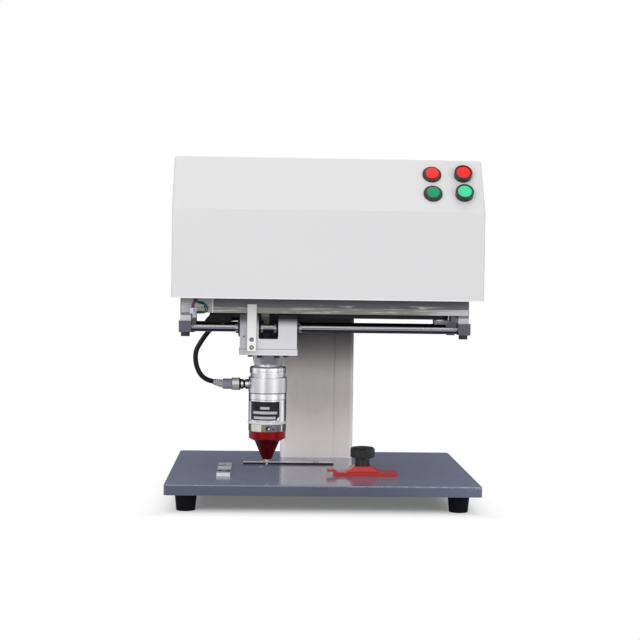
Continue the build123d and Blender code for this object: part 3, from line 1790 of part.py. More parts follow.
def nose_cap():
    """Red nose with a straight band, a shoulder and a long cone, bored for the stylus."""
    profile = [
        (0, nose_bottom - nose_land_height),
        (nose_land_radius, nose_bottom - nose_land_height),
        (nose_land_radius, nose_bottom),
        (nose_tip_radius, nose_bottom),
        (nose_shoulder_radius, nose_shoulder_bottom),
        (nose_radius, nose_band_bottom),
        (nose_radius, scale_ring_bottom),
        (0, scale_ring_bottom),
    ]
    inside = [
        (0, nose_bottom + nose_wall),
        (nose_tip_radius - nose_wall / 2, nose_bottom + nose_wall),
        (nose_shoulder_radius - nose_wall, nose_shoulder_bottom),
        (nose_radius - nose_wall, nose_band_bottom),
        (nose_radius - nose_wall, scale_ring_bottom + overrun),
        (0, scale_ring_bottom + overrun),
    ]
    cap = turned(profile) - turned(inside)
    low = nose_bottom - nose_land_height - overrun
    cap -= disc(0, 0, low, scale_ring_bottom, stylus_radius + bearing_clearance)
    return [Pos(carriage_home, head_y, 0) * cap]


def armature_bottom():
    """Lower end of the armature at rest."""
    return nose_shoulder_bottom + armature_rise


def stylus_tip():
    """Height of the point at rest."""
    return nose_bottom - nose_land_height - stylus_reach


def stylus():
    """Pointed needle with its spring collar and the armature on top."""
    tip = stylus_tip()
    low = armature_bottom()
    collar = low - stylus_collar_height
    profile = [
        (0, tip),
        (stylus_radius, tip + stylus_point),
        (stylus_radius, collar),
        (stylus_collar_radius, collar),
        (stylus_collar_radius, low),
        (armature_radius, low),
        (armature_radius, low + armature_height),
        (0, low + armature_height),
    ]
    return [Pos(carriage_home, head_y, 0) * turned(profile)]


def spring_seat():
    """Height of the floor that the return spring stands on."""
    return nose_bottom + nose_wall


def return_spring():
    """Coil spring round the needle that lifts it after each blow."""
    low = spring_low_end()
    high = armature_bottom() - stylus_collar_height - spring_end_gap - spring_wire_radius
    pitch = (high - low) / spring_turns
    helix = Helix(pitch=pitch, height=high - low, radius=spring_radius)
    start = Plane(origin=helix @ 0, z_dir=helix % 0)
    spring = sweep(start * Circle(spring_wire_radius), path=helix, is_frenet=True)
    return [Pos(carriage_home, head_y, low) * spring]


def spring_low_end():
    """Middle of the spring's lowest turn, where the cone is wide enough for it."""
    slope = (nose_shoulder_radius - nose_wall - nose_tip_radius + nose_wall / 2) / (
        nose_shoulder_bottom - nose_bottom - nose_wall
    )
    need = spring_radius + spring_wire_radius + spring_end_gap - nose_tip_radius + nose_wall / 2
    return spring_seat() + max(need, 0) / slope + spring_wire_radius + spring_end_gap


def connector_socket():
    """Socket on the sleeve's left side, with a groove behind its flange."""
    high = carriage_home - sleeve_radius + belt_float
    low = carriage_home - sleeve_radius - socket_length
    socket = disc_along_x(low, high, head_y, socket_z, socket_radius)
    middle = (low + high) / 2
    start = middle - socket_groove_length / 2
    end = middle + socket_groove_length / 2
    groove = disc_along_x(start, end, head_y, socket_z, socket_radius + overrun)
    return [socket - (groove - disc_along_x(start, end, head_y, socket_z, socket_groove_radius))]


def cable_plug():
    """Coupling nut and the ribbed boot that the cable leaves."""
    high = carriage_home - sleeve_radius - socket_length
    nut = disc_along_x(high - nut_length, high, head_y, socket_z, nut_radius)
    for step in range(nut_flats):
        turn = 360 * step / nut_flats
        groove = Box(nut_length * nut_groove_share, nut_groove_depth * 2, nut_groove_depth * 2)
        groove = Pos(0, 0, nut_radius) * groove
        nut -= Pos(high - nut_length / 2, head_y, socket_z) * Rot(turn, 0, 0) * groove
    start = high - nut_length
    bend = start - boot_length
    boot = disc_along_x(bend, start, head_y, socket_z, boot_radius)
    step_length = boot_taper_length / boot_rib_count
    profile = [(0, -boot_overlap), (boot_start_radius, -boot_overlap)]
    for step in range(boot_rib_count):
        radius = boot_start_radius + (boot_end_radius - boot_start_radius) * step / boot_rib_count
        low = step * step_length
        land = low + step_length * boot_land_share
        if step > 0:
            profile.append((radius, low))
        profile.append((radius, land))
        profile.append((radius - boot_rib_depth, land))
        profile.append((radius - boot_rib_depth, low + step_length))
    profile.append((0, boot_taper_length))
    taper = Pos(bend, head_y, socket_z) * Rot(0, -90 + boot_tilt, 0) * turned(profile)
    return [nut, boot + taper]


def head_cable():
    """Cable between the plug and the gland."""
    return [cord_tube(head_cable_points(), cable_radius, "head cable")]


buttons = button_places()
nodes = {
    "base_plate": base_plate(),
    "rubber_feet": rubber_feet(),
    "frame_screws": base_fasteners() + cover_screws(),
    "column_post": column_post(),
    "column_cover": column_cover(),
    "head_frame_plate": head_frame_plate(),
    "head_cover": head_cover(),
    "rear_panel": rear_panel(),
    "control_socket": control_socket(),
    "y_rails": y_rails(),
    "y_motor": y_motor(),
    "y_drive_pulley": y_drive_pulley(),
    "y_idler_pulley": y_idler_pulley(),
    "y_belt": y_belt(),
    "control_board": control_board(),
    "left_stop_bar": left_stop_bar(),
    "rear_fence": rear_fence(),
    "clamp_strap": clamp_strap(),
    "clamp_saddle": clamp_saddle(),
    "clamp_knob": clamp_knob(),
    "button_bezels": button_bezels(),
    "button_switches": button_switches(),
    "green_button": [button_cap(*buttons[0])],
    "red_button": [button_cap(*buttons[1])],
    "lit_green_button": [button_cap(*buttons[2])],
    "lit_red_button": [button_cap(*buttons[3])],
    "end_plates": end_plates(),
    "y_rail_blocks": y_rail_blocks(),
    "rod_clamps": rod_clamps(),
    "guide_rods": guide_rods(),
    "gantry_beam": gantry_beam(),
    "x_motor": x_motor(),
    "x_drive_pulley": x_drive_pulley(),
    "x_idler_pulley": x_idler_pulley(),
    "idler_yoke": idler_yoke(),
    "x_belt": x_belt(),
    "y_belt_clamp": y_belt_clamp(),
    "limit_switch": limit_switch(),
    "switch_wires": switch_wires(),
    "carriage_fork": carriage_fork(),
    "carriage_plate": carriage_plate(),
    "linear_bearings": linear_bearings() + bearing_seals(),
    "flag_strip": flag_strip(),
    "head_screws": head_screws(),
    "belt_clamp": belt_clamp(),
    "cable_gland": cable_gland(),
    "head_neck": head_neck(),
    "clamp_ring": clamp_ring(),
    "connector_sleeve": connector_sleeve(),
    "head_body": head_body(),
    "label_plate": label_plate(),
    "solenoid_coil": solenoid_coil(),
    "seal_ring": seal_ring(),
    "scale_ring": scale_ring(),
    "nose_cap": nose_cap(),
    "stylus": stylus(),
    "return_spring": return_spring(),
    "connector_socket": connector_socket(),
    "cable_plug": cable_plug(),
    "head_cable": head_cable(),
}

for name, shapes in nodes.items():
    solids = [solid for shape in shapes for solid in shape.solids()]
    whole = solids[0] if len(solids) == 1 else Compound(solids)
    export_step(whole, "parts/" + name + ".step")
print("nodes", len(nodes))
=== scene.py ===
"""Looks of a nameplate marking machine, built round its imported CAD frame.

Run as a script inside Blender. Lengths are in metres unless a name ends in _mm, and every piece
is in the frame's own coordinates, so a finish can go by the place of a point on the machine.
Finishes work in mm, and in degrees round the marking head.
"""

import math

import bmesh
import bpy
from mathutils import Matrix, Vector


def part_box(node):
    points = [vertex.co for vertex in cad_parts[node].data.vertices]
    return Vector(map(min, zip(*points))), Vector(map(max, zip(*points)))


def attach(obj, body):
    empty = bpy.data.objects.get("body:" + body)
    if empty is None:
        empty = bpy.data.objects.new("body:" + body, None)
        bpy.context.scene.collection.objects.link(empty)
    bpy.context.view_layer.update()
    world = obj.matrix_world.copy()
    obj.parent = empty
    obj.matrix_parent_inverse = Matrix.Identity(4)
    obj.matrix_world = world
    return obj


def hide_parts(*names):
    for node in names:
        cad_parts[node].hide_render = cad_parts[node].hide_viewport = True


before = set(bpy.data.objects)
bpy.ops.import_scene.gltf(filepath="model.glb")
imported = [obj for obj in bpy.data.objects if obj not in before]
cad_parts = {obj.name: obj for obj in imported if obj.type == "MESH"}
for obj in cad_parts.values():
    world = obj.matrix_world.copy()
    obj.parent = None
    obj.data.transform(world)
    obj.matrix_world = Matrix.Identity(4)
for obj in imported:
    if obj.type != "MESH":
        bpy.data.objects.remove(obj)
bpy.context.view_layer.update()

bl_info = {
    "name": "Marking machine looks",
    "version": (1, 0, 0),
    "blender": (4, 5, 0),
    "location": "3D View > Sidebar > Marker",
    "description": "Finishes, cords, belts and studio for a nameplate marking machine",
    "category": "Object",
}

MM = 0.001
HEAD_AXIS_MM = (-80.4, -55.0)
PLUG_AXIS_MM = (-55.0, 174.5)
STRIP_MIDDLE_MM = -103.95
X_MOTOR_HEIGHTS_MM = (305, 339)
X_PULLEYS_MM = ((-150, -81), (170.5, -81))
Y_PULLEYS_MM = ((0, 100), (0, -188.2))
RING_MM_PER_DEGREE = 0.367
BELT_THICKNESS_MM = 1.0
CAMERA_PLACE = (-0.082, -2.071, 0.337)
CAMERA_TURNS = {"Z": -2.20, "X": -1.90, "Y": -0.79}

# How far noise is drawn out along each axis to make rings, round an upright part or one along X
UPRIGHT_RINGS = (90, 90, 1)
CROSSWISE_RINGS = (1, 40, 40)


def tone(red, green, blue):
    """A screen colour, 0 to 255 a channel, as the linear colour that the shaders take."""
    channels = []
    for value in (red, green, blue):
        share = value / 255
        channels.append(share / 12.92 if share < 0.04045 else ((share + 0.055) / 1.055) ** 2.4)
    return tuple(channels)


# ---------------------------------------------------------------- sizes and colours


def colour(name, description, shade):
    """A colour that a user may change."""
    return bpy.props.FloatVectorProperty(
        name=name, description=description, subtype="COLOR", size=3, min=0, max=1, default=tone(*shade)
    )


def number(name, description, default, **kind):
    """A number that a user may change."""
    return bpy.props.FloatProperty(name=name, description=description, default=default, **kind)


def length(name, description, millimetres):
    """A length that a user may change."""
    return number(name, description, millimetres * MM, unit="LENGTH", precision=4, min=0)


def power(name, description, watts):
    """The power of a lamp."""
    return number(name, description, watts, unit="POWER", min=0)


class MarkerPaints(bpy.types.PropertyGroup):
    """Colours of the paints, plastics and rubber."""

    base: colour("Base plate", "Gloss enamel of the base plate", (96, 100, 118))
    base_wear: colour("Base edge wear", "Thin paint along the base plate's edges", (158, 161, 174))
    cover: colour("Cover", "Powder coat of the cover", (218, 218, 219))
    # The lower edge's colour is a painted highlight along the rounded edge.
    cover_hem_highlight: colour("Cover hem", "Lower edge of the cover", (240, 240, 240))
    clamp: colour("Clamp red", "Paint of the strap and saddle", (208, 40, 34))
    rod_clamp: colour("Rod clamps", "Paint of the blocks that hold the rods", (92, 90, 102))
    knob: colour("Knob", "Moulded plastic of the star knob", (34, 34, 36))
    rubber: colour("Rubber", "Feet and seals", (10, 10, 18))
    belt: colour("Belts", "Toothed belts", (26, 26, 30))
    cable: colour("Cable", "Sheath of the head's cable", (1, 1, 2))
    boot: colour("Boot", "Ribbed boot of the plug", (134, 133, 154))
    wire: colour("Green wires", "Sleeves of the switch's wires", (6, 110, 96))
    brown_wire: colour("Brown wires", "Short wires at the switch", (128, 70, 54))
    green: colour("Green button", "Cap of the green button", (18, 148, 96))
    lit_green: colour("Lit green button", "Cap of the lit green button", (62, 206, 148))
    red: colour("Red button", "Cap of the red button", (248, 44, 34))
    lit_red: colour("Lit red button", "Cap of the lit red button", (240, 26, 22))
    label: colour("Label", "Dark field of the head's label", (20, 19, 24))
    bars: colour("Label bars", "Plain bars on the head's label", (222, 218, 226))
    lining: colour("Lining", "Bare primer inside the cover", (62, 61, 64))
    scale: colour("Scale ring", "Cream part of the scale ring", (226, 221, 210))
    seal: colour("White ring", "Ring between casing and scale", (232, 232, 240))
    board: colour("Board", "Circuit board inside the cover", (18, 74, 46))


class MarkerMetals(bpy.types.PropertyGroup):
    """Colours of the metals."""

    column: colour("Column sheet", "Folded sheet round the column", (246, 238, 235))
    fork: colour("Carriage", "Milled fork and plate of the carriage", (222, 221, 226))
    strip: colour("Bright strip", "Strip screwed to the fork", (252, 252, 252))
    plates: colour("End plates", "Legs of the plates at the ends of the bridge", (206, 204, 211))
    beam: colour("Beam", "Lip of the bridge's long beam", (148, 147, 142))
    casing: colour("Casing", "Polished casing of the marking head", (244, 244, 248))
    sleeve: colour("Sleeve", "Turned sleeve above the casing", (226, 225, 229))
    steel: colour("Steel", "Screws of the frame", (176, 172, 164))
    nickel: colour("Nickel", "Control socket in the rear panel", (170, 168, 160))
    nose: colour("Nose red", "Anodised nose of the marking head", (150, 14, 20))
    copper: colour("Copper", "Winding of the coil", (176, 92, 52))


class MarkerCords(bpy.types.PropertyGroup):
    """Cable, wires and belts."""

    cable_diameter: length("Cable diameter", "Sheath of the head's cable", 7.2)
    cable_length: length("Cable length", "From the plug's boot to the gland", 142.6)
    wire_diameter: length("Wire diameter", "Green wires of the home switch", 1.6)
    tooth_pitch: length("Tooth pitch", "Pitch of the belts' teeth", 2.0)
    tooth_height: length("Tooth height", "Height of the belts' teeth", 0.45)


class MarkerStudio(bpy.types.PropertyGroup):
    """Camera, lamps and floor."""

    focal_length: number("Focal length", "Lens of the camera", 76.95, unit="CAMERA", min=1)
    key_power: power("Key lamp", "Power of the large soft lamp at the left", 26)
    fill_power: power("Fill lamp", "Power of the large soft lamp at the right", 15.5)
    top_power: power("Top lamp", "Power of the soft lamp overhead", 17)
    ambience: number(
        "Ambience", "Strength of the even light from all round", 0.55, subtype="FACTOR", min=0, max=1
    )
    card: colour("Grey card", "Cards round the machine that only reflections see", (64, 64, 76))
    upper_card: colour("Upper card", "Paler upper part of the card behind the machine", (112, 112, 128))
    floor: colour("Floor", "Pale floor", (240, 240, 241))


def settings():
    """The scene's groups of sizes and colours: paints, metals, cords and studio."""
    scene = bpy.context.scene
    return scene.marker_paints, scene.marker_metals, scene.marker_cords, scene.marker_studio


# ---------------------------------------------------------------- materials


def overload(operation, reflected=False):
    """A method of Signal that adds one Math node. The reflected form swaps its two values."""

    def work(self, *other):
        return self.maths(operation, *((*other, self) if reflected else (self, *other)))

    return work


class Signal:
    """A number that varies over a surface. Sums on it add the Math nodes that work them out."""

    def __init__(self, finish, socket):
        self.finish = finish
        self.socket = socket

    def maths(self, operation, *values):
        node = self.finish.node("ShaderNodeMath", {"operation": operation}, dict(enumerate(values)))
        return Signal(self.finish, node.outputs[0])

    __add__ = __radd__ = overload("ADD")
    __mul__ = __rmul__ = overload("MULTIPLY")
    __sub__ = overload("SUBTRACT")
    __rsub__ = overload("SUBTRACT", reflected=True)
    __truediv__ = overload("DIVIDE")
    __rtruediv__ = overload("DIVIDE", reflected=True)
    __pow__ = overload("POWER")
    __rpow__ = overload("POWER", reflected=True)
    __mod__ = overload("FLOORED_MODULO")
    __rmod__ = overload("FLOORED_MODULO", reflected=True)
    __abs__ = overload("ABSOLUTE")
    least = overload("MINIMUM")
    most = overload("MAXIMUM")

    def rise(self, low, high):
        """0 below low and 1 above high, with a smooth step between."""
        feeds = {"Value": self, "From Min": low, "From Max": high}
        node = self.finish.node("ShaderNodeMapRange", {"interpolation_type": "SMOOTHSTEP"}, feeds)
        return Signal(self.finish, node.outputs["Result"])

    def within(self, low, high, soft):
        """1 from low to high, and 0 outside, over a soft edge."""
        return self.rise(low - soft, low + soft) * (1 - self.rise(high - soft, high + soft))

    def saw(self, pitch):
        """Triangles along the signal: 0.5 at each multiple of the pitch, and 0 half-way between."""
        return abs((self / pitch) % 1 - 0.5)


class Finish:
    """One material: a shader, and the nodes that vary it over the machine."""

    def __init__(self, name, **surface):
        self.material = bpy.data.materials.new(name)
        self.material.use_nodes = True
        self.tree = self.material.node_tree
        self.tree.nodes.clear()
        self.shader = self.node("ShaderNodeBsdfPrincipled")
        self.output = self.node("ShaderNodeOutputMaterial", inputs={"Surface": self.shader.outputs["BSDF"]})
        self.spot = self.node("ShaderNodeTexCoord").outputs["Object"]
        self.set(**surface)

    def node(self, kind, settings=None, inputs=None):
        """A node of that kind, its settings made before its sockets are fed."""
        node = self.tree.nodes.new(kind)
        for name, value in (settings or {}).items():
            setattr(node, name, value)
        for name, value in (inputs or {}).items():
            self.feed(node.inputs[name], value)
        return node

    def feed(self, socket, value):
        """Links a signal or socket to a socket, or sets a plain value or colour on it."""
        if isinstance(value, Signal):
            value = value.socket
        if isinstance(value, bpy.types.NodeSocket):
            self.tree.links.new(value, socket)
        elif socket.type == "RGBA" and len(value) == 3:
            socket.default_value = (*value, 1)
        else:
            socket.default_value = value

    def set(self, **surface):
        """Sets the shader's sockets; base_color stands for Base Color."""
        for name, value in surface.items():
            words = [word.upper() if word == "ior" else word.capitalize() for word in name.split("_")]
            self.feed(self.shader.inputs[" ".join(words)], value)
        return self

    def place(self, axes="XYZ"):
        """Where the point is on the machine along those axes, in mm."""
        parts = self.node("ShaderNodeSeparateXYZ", inputs={"Vector": self.spot})
        return [Signal(self, parts.outputs[axis]) * (1 / MM) for axis in axes]

    def angle(self, across, ahead):
        """Angle in degrees of a point with those two distances from an axis, 0 where it is ahead."""
        return across.maths("ARCTAN2", across, ahead) * math.degrees(1)

    def turn(self):
        """Angle of the point round the head's axis in degrees, 0 towards the front, positive to the right."""
        x, y = self.place("XY")
        return self.angle(x - HEAD_AXIS_MM[0], HEAD_AXIS_MM[1] - y)

    def scaled(self, size_mm, stretch=(1, 1, 1), seed=0.0):
        """The point's place in units of that size, drawn out along the axes and shifted by the seed."""
        scale = tuple(1 / (size_mm * MM * part) for part in stretch)
        feeds = {0: self.spot, 1: scale, 2: (seed, seed * 0.7, -seed)}
        return self.node("ShaderNodeVectorMath", {"operation": "MULTIPLY_ADD"}, feeds).outputs[0]

    def noise(self, size_mm, detail=2.0, rough=0.5, stretch=(1, 1, 1), seed=0.0):
        """Soft noise about that size, around 0.5."""
        spot = self.scaled(size_mm, stretch, seed)
        feeds = {"Vector": spot, "Scale": 1.0, "Detail": detail, "Roughness": rough}
        return Signal(self, self.node("ShaderNodeTexNoise", {"noise_dimensions": "3D"}, feeds).outputs[0])

    def specks(self, size_mm):
        """Distance to the nearest of scattered points, in their own spacing."""
        feeds = {"Vector": self.scaled(size_mm), "Scale": 1.0}
        return Signal(self, self.node("ShaderNodeTexVoronoi", {"feature": "F1"}, feeds).outputs["Distance"])

    def mix(self, mask, first, second):
        """The first colour where mask is 0 and the second where it is 1."""
        return self.node("ShaderNodeMix", {"data_type": "RGBA"}, {0: mask, 6: first, 7: second}).outputs[2]

    def layers(self, tint, *masked):
        """Colours laid in turn over a first one, each where its mask is 1."""
        for mask, shade in masked:
            tint = self.mix(mask, tint, shade)
        return tint

    def lighten(self, tint, amount):
        """A colour brightened or darkened by a factor that varies."""
        grey = self.node("ShaderNodeCombineXYZ", inputs={"X": amount, "Y": amount, "Z": amount}).outputs[0]
        kind = {"data_type": "RGBA", "blend_type": "MULTIPLY"}
        return self.node("ShaderNodeMix", kind, {0: 1.0, 6: tint, 7: grey}).outputs[2]

    def bump(self, height_mm):
        """Feeds the Normal with a height in mm."""
        node = self.node("ShaderNodeBump", inputs={"Height": height_mm, "Distance": MM, "Strength": 1.0})
        return self.set(normal=node.outputs["Normal"])

    def done(self, tint, rough, height_mm, **surface):
        """The material, with its colour, roughness, height in mm and other sockets fed."""
        return self.bump(height_mm).set(base_color=tint, roughness=rough, **surface).material


def base_enamel(paints):
    """Gloss enamel with a faint orange peel, thin and scuffed along its edges, and painted sheen: its top and
    the right of its front are painted lighter.
    """
    finish = Finish("base_enamel", ior=1.5, coat_ior=1.5)
    x, y, z = finish.place()
    mottle = finish.noise(26, 3, 0.6)
    cloud = finish.noise(140, seed=4.0)
    depth = 0.9 + 0.16 * (mottle * 0.5 + cloud * 0.5)
    front = 1 - y.rise(-156.9, -155.2)
    side = x.rise(223.0, 224.8).most(1 - x.rise(-224.8, -223.0))
    rolled = z.within(38.3, 40.4, 0.35) * front.most(side)
    rub_and_sheen = finish.noise(3.4, 5, 0.75, (2.6, 1, 1)).rise(0.46, 0.62) * (0.35 + 0.65 * x.rise(-40, 130))
    nicks = finish.noise(1.5, 3, 0.6, (2, 1, 1), 3.0).rise(0.58, 0.66) * z.rise(36.6, 38.4) * front
    corner = x.rise(196, 222) * front * finish.noise(4, 4, 0.7, seed=6.0).rise(0.48, 0.58)
    wear = (rolled * (0.3 + 0.7 * rub_and_sheen)).most(nicks * x.rise(20, 160)).most(corner * z.rise(30, 38) * 0.8)
    dust = (1 - finish.specks(9.0).rise(0.05, 0.09)) * finish.noise(60, 1).rise(0.55, 0.7) * 0.3
    # Painted sheen: the top face and the right of the front face are painted lighter.
    paler = 1 + 1.1 * z.rise(39.0, 39.8) + 0.3 * x.rise(60, 210) * front
    paint = finish.lighten(paints.base, depth * paler)
    peel = finish.noise(2.2) * 0.004 + finish.noise(9, 1, 0.4) * 0.006
    return finish.done(
        finish.mix(wear.most(dust), paint, paints.base_wear),
        0.12 + 0.06 * mottle + 0.25 * wear + 0.1 * dust,
        peel - 0.02 * wear,
    )


def powder_coat(name, shade):
    """A finish in satin powder coat, and its even colour with a fine grain, which isn't fed yet."""
    finish = Finish(name, ior=1.45)
    grain = finish.noise(0.9)
    finish.set(roughness=0.42 + 0.08 * finish.noise(40)).bump(grain * 0.012)
    return finish, finish.lighten(shade, 0.985 + 0.03 * finish.noise(170) + 0.012 * grain)


def rear_coat(paints):
    """Powder coat of the rear panel."""
    finish, paint = powder_coat("rear_coat", paints.cover)
    return finish.set(base_color=paint).material


def cover_coat(paints):
    """Powder coat outside, with a painted highlight along its lower edge, and dark primer inside."""
    finish, paint = powder_coat("cover_coat", paints.cover)
    x, y, z = finish.place()
    # Depth in from each outer face; the bevel starts 424 mm up and leans back by 33 degrees
    side, front, top = 212.5 - abs(x), y + 219, 498 - z
    bevel = front * 0.8389 - (z - 424) * 0.5442
    deep = side.least(front).least(bevel).least(top)
    # Painted highlight along the lower edge.
    hem_highlight = 1 - z.rise(303.5, 305.2)
    inside = deep.rise(1.0, 1.3) * z.rise(303.1, 303.4)
    tint = finish.layers(paint, (hem_highlight, paints.cover_hem_highlight), (inside, paints.lining))
    return finish.set(base_color=tint).material


def column_satin(metals):
    """Satin sheet with an upright grain and handling marks. Its front carries painted shade: lighter low down
    and darker towards the top, where the head shades it.
    """
    finish = Finish("column_satin", metallic=0.3)
    y, z = finish.place("YZ")
    grain = finish.noise(1.4, 3, 0.6, (1, 1, 46))
    cloud = finish.noise(70, 3, 0.55, (1, 1, 1.6))
    smear = finish.noise(24, 4, 0.6, (1, 1, 2.2), 5.0).rise(0.5, 0.68)
    # Painted light and shade on the front: lighter low down, darker towards the top under the head; the rear
    # face is left out of it.
    lit = 1.16 - 0.36 * z.rise(50, 150)
    lit = lit * (1.0 - 0.78 * z.rise(165, 235)) * (1.0 - 0.88 * z.rise(224, 264))
    lit = lit + (1 - lit) * 0.8 * y.rise(150, 200)
    tint = finish.lighten(metals.column, (0.9 + 0.07 * grain + 0.1 * cloud - 0.05 * smear) * lit)
    return finish.done(tint, 0.34 + 0.1 * cloud + 0.08 * grain, grain * 0.004)


def milled(name, shade, lay=(1, 1, 1), rough=0.34):
    """Milled or brushed metal; lay stretches its grain along an axis."""
    finish = Finish(name, metallic=1.0)
    grain = finish.noise(0.7, 3, 0.6, lay)
    cloud = finish.noise(22, 3, 0.55)
    marks = finish.noise(5.5, 5, 0.75, seed=9.0).rise(0.6, 0.74)
    tint = finish.lighten(shade, 0.93 + 0.08 * grain + 0.06 * cloud - 0.05 * marks)
    return finish.done(tint, rough + 0.1 * cloud + 0.05 * grain + 0.06 * marks, grain * 0.004)


def painted_reflection_streaks(turn, low, high, soft):
    """Painted reflections as soft upright streaks round the head: one in front, and a fainter pair between
    two angles.
    """
    return turn.within(-9, 1, 5) + 0.8 * abs(turn).within(low, high, soft)


def turned_metal(name, shade, rough, painted_reflection_depth=0.0):
    """Turned metal with fine rings; the painted reflection depth sets how strongly painted reflections darken
    it, as soft upright streaks and dark sides.
    """
    finish = Finish(name, metallic=1.0)
    rings = finish.noise(0.35, stretch=UPRIGHT_RINGS)
    cloud = finish.noise(16)
    turn = finish.turn()
    # Painted reflections: upright streaks and darker sides.
    painted_reflection_shade = 1 - painted_reflection_depth * painted_reflection_streaks(turn, 38, 50, 7)
    painted_reflection_shade = painted_reflection_shade * (1 - 1.6 * painted_reflection_depth * abs(turn).within(66, 92, 10))
    tint = finish.lighten(shade, (0.95 + 0.06 * rings + 0.04 * cloud) * painted_reflection_shade)
    return finish.done(tint, rough + 0.07 * rings + 0.05 * cloud, rings * 0.0025)


def end_plate_finish(metals):
    """Milled end plates with painted light and shade: a darker shaded copy of their colour above the legs,
    darker still towards the top where the cover shades them, lighter legs, and a rear leg painted nearly
    white as if lit.
    """
    finish = Finish("end_plate_finish")
    y, z = finish.place("YZ")
    grain = finish.noise(0.7, 3, 0.6, (1, 14, 1))
    # Painted shade above the legs, where the cover shades them; painted light on the nearly white rear leg.
    leg = 1 - z.rise(276.4, 277.4)
    rear = leg * y.rise(0, 2)
    tint = finish.layers(tone(128, 127, 135), (leg, metals.plates), (rear, tone(252, 252, 252)))
    tint = finish.lighten(tint, (0.88 + 0.14 * grain) * (1 - 0.35 * z.rise(292, 304)))
    return finish.done(tint, 0.38 + 0.08 * grain, grain * 0.004, metallic=0.6 - 0.6 * rear)


def clamp_ring_finish():
    """Polished clamping ring with painted highlights along the edges of its slots, painted shade inside them,
    painted reflections as soft upright streaks and dark sides, and a dark line.
    """
    finish = Finish("clamp_ring_finish", metallic=1.0)
    x, y, z = finish.place()
    turn = finish.turn()
    reach = ((x - HEAD_AXIS_MM[0]) ** 2 + (y - HEAD_AXIS_MM[1]) ** 2) ** 0.5
    rings = finish.noise(0.35, stretch=UPRIGHT_RINGS)
    slot = 1 - reach.rise(22.6, 23.2)
    # Painted highlights along the edges of the slots.
    edge = turn.within(-39, -35, 1.2).most(turn.within(-53, -47, 1.5)).most(turn.within(62, 70, 2))
    edge = edge * z.within(192.2, 200.0, 0.6) * (1 - slot)
    # Painted shade inside the slots.
    slot = slot.most(turn.within(-44, -40, 1.2) * z.within(193.0, 199.0, 0.5))
    line = z.within(193.6, 194.4, 0.25) * abs(turn).within(-60, 60, 3)
    # Painted reflections: soft upright streaks and darker sides.
    shade = (0.9 + 0.08 * rings) * (1 - 0.24 * painted_reflection_streaks(turn, 30, 40, 6))
    shade = shade * (1 - 0.75 * abs(turn).within(62, 92, 8)) * (1 - 0.5 * line)
    tint = finish.lighten(tone(240, 240, 245), shade)
    tint = finish.layers(tint, (edge, tone(252, 252, 255)), (slot * 0.7, tone(70, 70, 90)))
    return finish.done(tint, 0.22 + 0.05 * rings, rings * 0.0004)


def neck_finish():
    """Turned neck: darker above, with painted highlights where it runs into the ring, and painted shade
    towards its right side.
    """
    finish = Finish("neck_finish", metallic=0.6)
    (z,) = finish.place("Z")
    turn = finish.turn()
    rings = finish.noise(0.5, stretch=(60, 60, 1))
    blotch = finish.noise(7, 3, 0.6)
    # Painted highlights low on the neck; painted shade towards its right side.
    bright = (1 - z.rise(203.0, 207.0)) * (turn.within(-34, -16, 7).most(turn.within(-6, 8, 5)) + 0.25)
    shade = (0.5 + 0.12 * rings + 0.1 * blotch) * (1 - 0.35 * turn.rise(10, 50)) + 0.75 * bright
    return finish.done(finish.lighten(tone(212, 212, 219), shade), 0.32 + 0.1 * blotch, rings * 0.003)


def plated_rod():
    """Ground and plated rods with painted light: a painted highlight band along the front one, painted shade
    below it and along its top, and the rear one painted dark as shade.
    """
    finish = Finish("plated_rod")
    y, z = finish.place("YZ")
    rings = finish.noise(0.4, stretch=CROSSWISE_RINGS)
    haze = finish.noise(30)
    rear = y.rise(-60, -40)
    # Painted highlight band along the front rod, not metallic; painted shade below it and along its top, and
    # on the whole rear rod.
    bright = z.within(260.7, 263.3, 0.3)
    tint = finish.layers(
        tone(136, 134, 148),
        (bright, tone(255, 255, 255)),
        (1 - z.rise(257.0, 257.8), tone(80, 78, 98)),
        (rear.most(z.rise(263.5, 263.8)), tone(52, 52, 58)),
    )
    return finish.done(
        finish.lighten(tint, 0.96 + 0.07 * haze),
        0.08 + 0.05 * haze + 0.03 * rings + 0.2 * bright,
        rings * 0.0008,
        metallic=1 - bright * (1 - rear),
    )


def moulded(name, shade, rough=0.45, grain_mm=0.6, depth=0.01, gloss=0.5):
    """Moulded plastic or rubber with a fine grain and slight wear."""
    finish = Finish(name, ior=1.47, specular_ior_level=gloss)
    grain = finish.noise(grain_mm)
    rub = finish.noise(9, 4, 0.6).rise(0.5, 0.75)
    tint = finish.lighten(shade, 0.9 + 0.12 * grain + 0.12 * rub)
    return finish.done(tint, rough + 0.08 * rub + 0.05 * grain, grain * depth)


def clamp_paint(paints):
    """Red paint, chipped a little along the strap's edges."""
    finish = Finish("clamp_paint", ior=1.5, coat_weight=0.3, coat_roughness=0.12)
    (z,) = finish.place("Z")
    grain = finish.noise(1.6)
    edges = (1 - z.rise(40.6, 41.2)).most(z.within(44.5, 45.2, 0.2))
    chips = finish.noise(2.4, 4, 0.7).rise(0.66, 0.72) * edges
    paint = finish.lighten(paints.clamp, 0.9 + 0.18 * finish.noise(14))
    paint = finish.mix(chips, paint, tone(120, 96, 92))
    return finish.done(paint, 0.26 + 0.1 * grain + 0.2 * chips, grain * 0.01 - chips * 0.02)


def button_cap(name, shade, glow):
    """Satin button cap with a slight haze."""
    finish = Finish(name, ior=1.49, specular_ior_level=0.3, emission_strength=glow)
    haze = finish.noise(5, 3, 0.6)
    tint = finish.lighten(shade, 0.92 + 0.14 * haze)
    return finish.done(tint, 0.34 + 0.12 * haze, finish.noise(0.5) * 0.004, emission_color=tint)


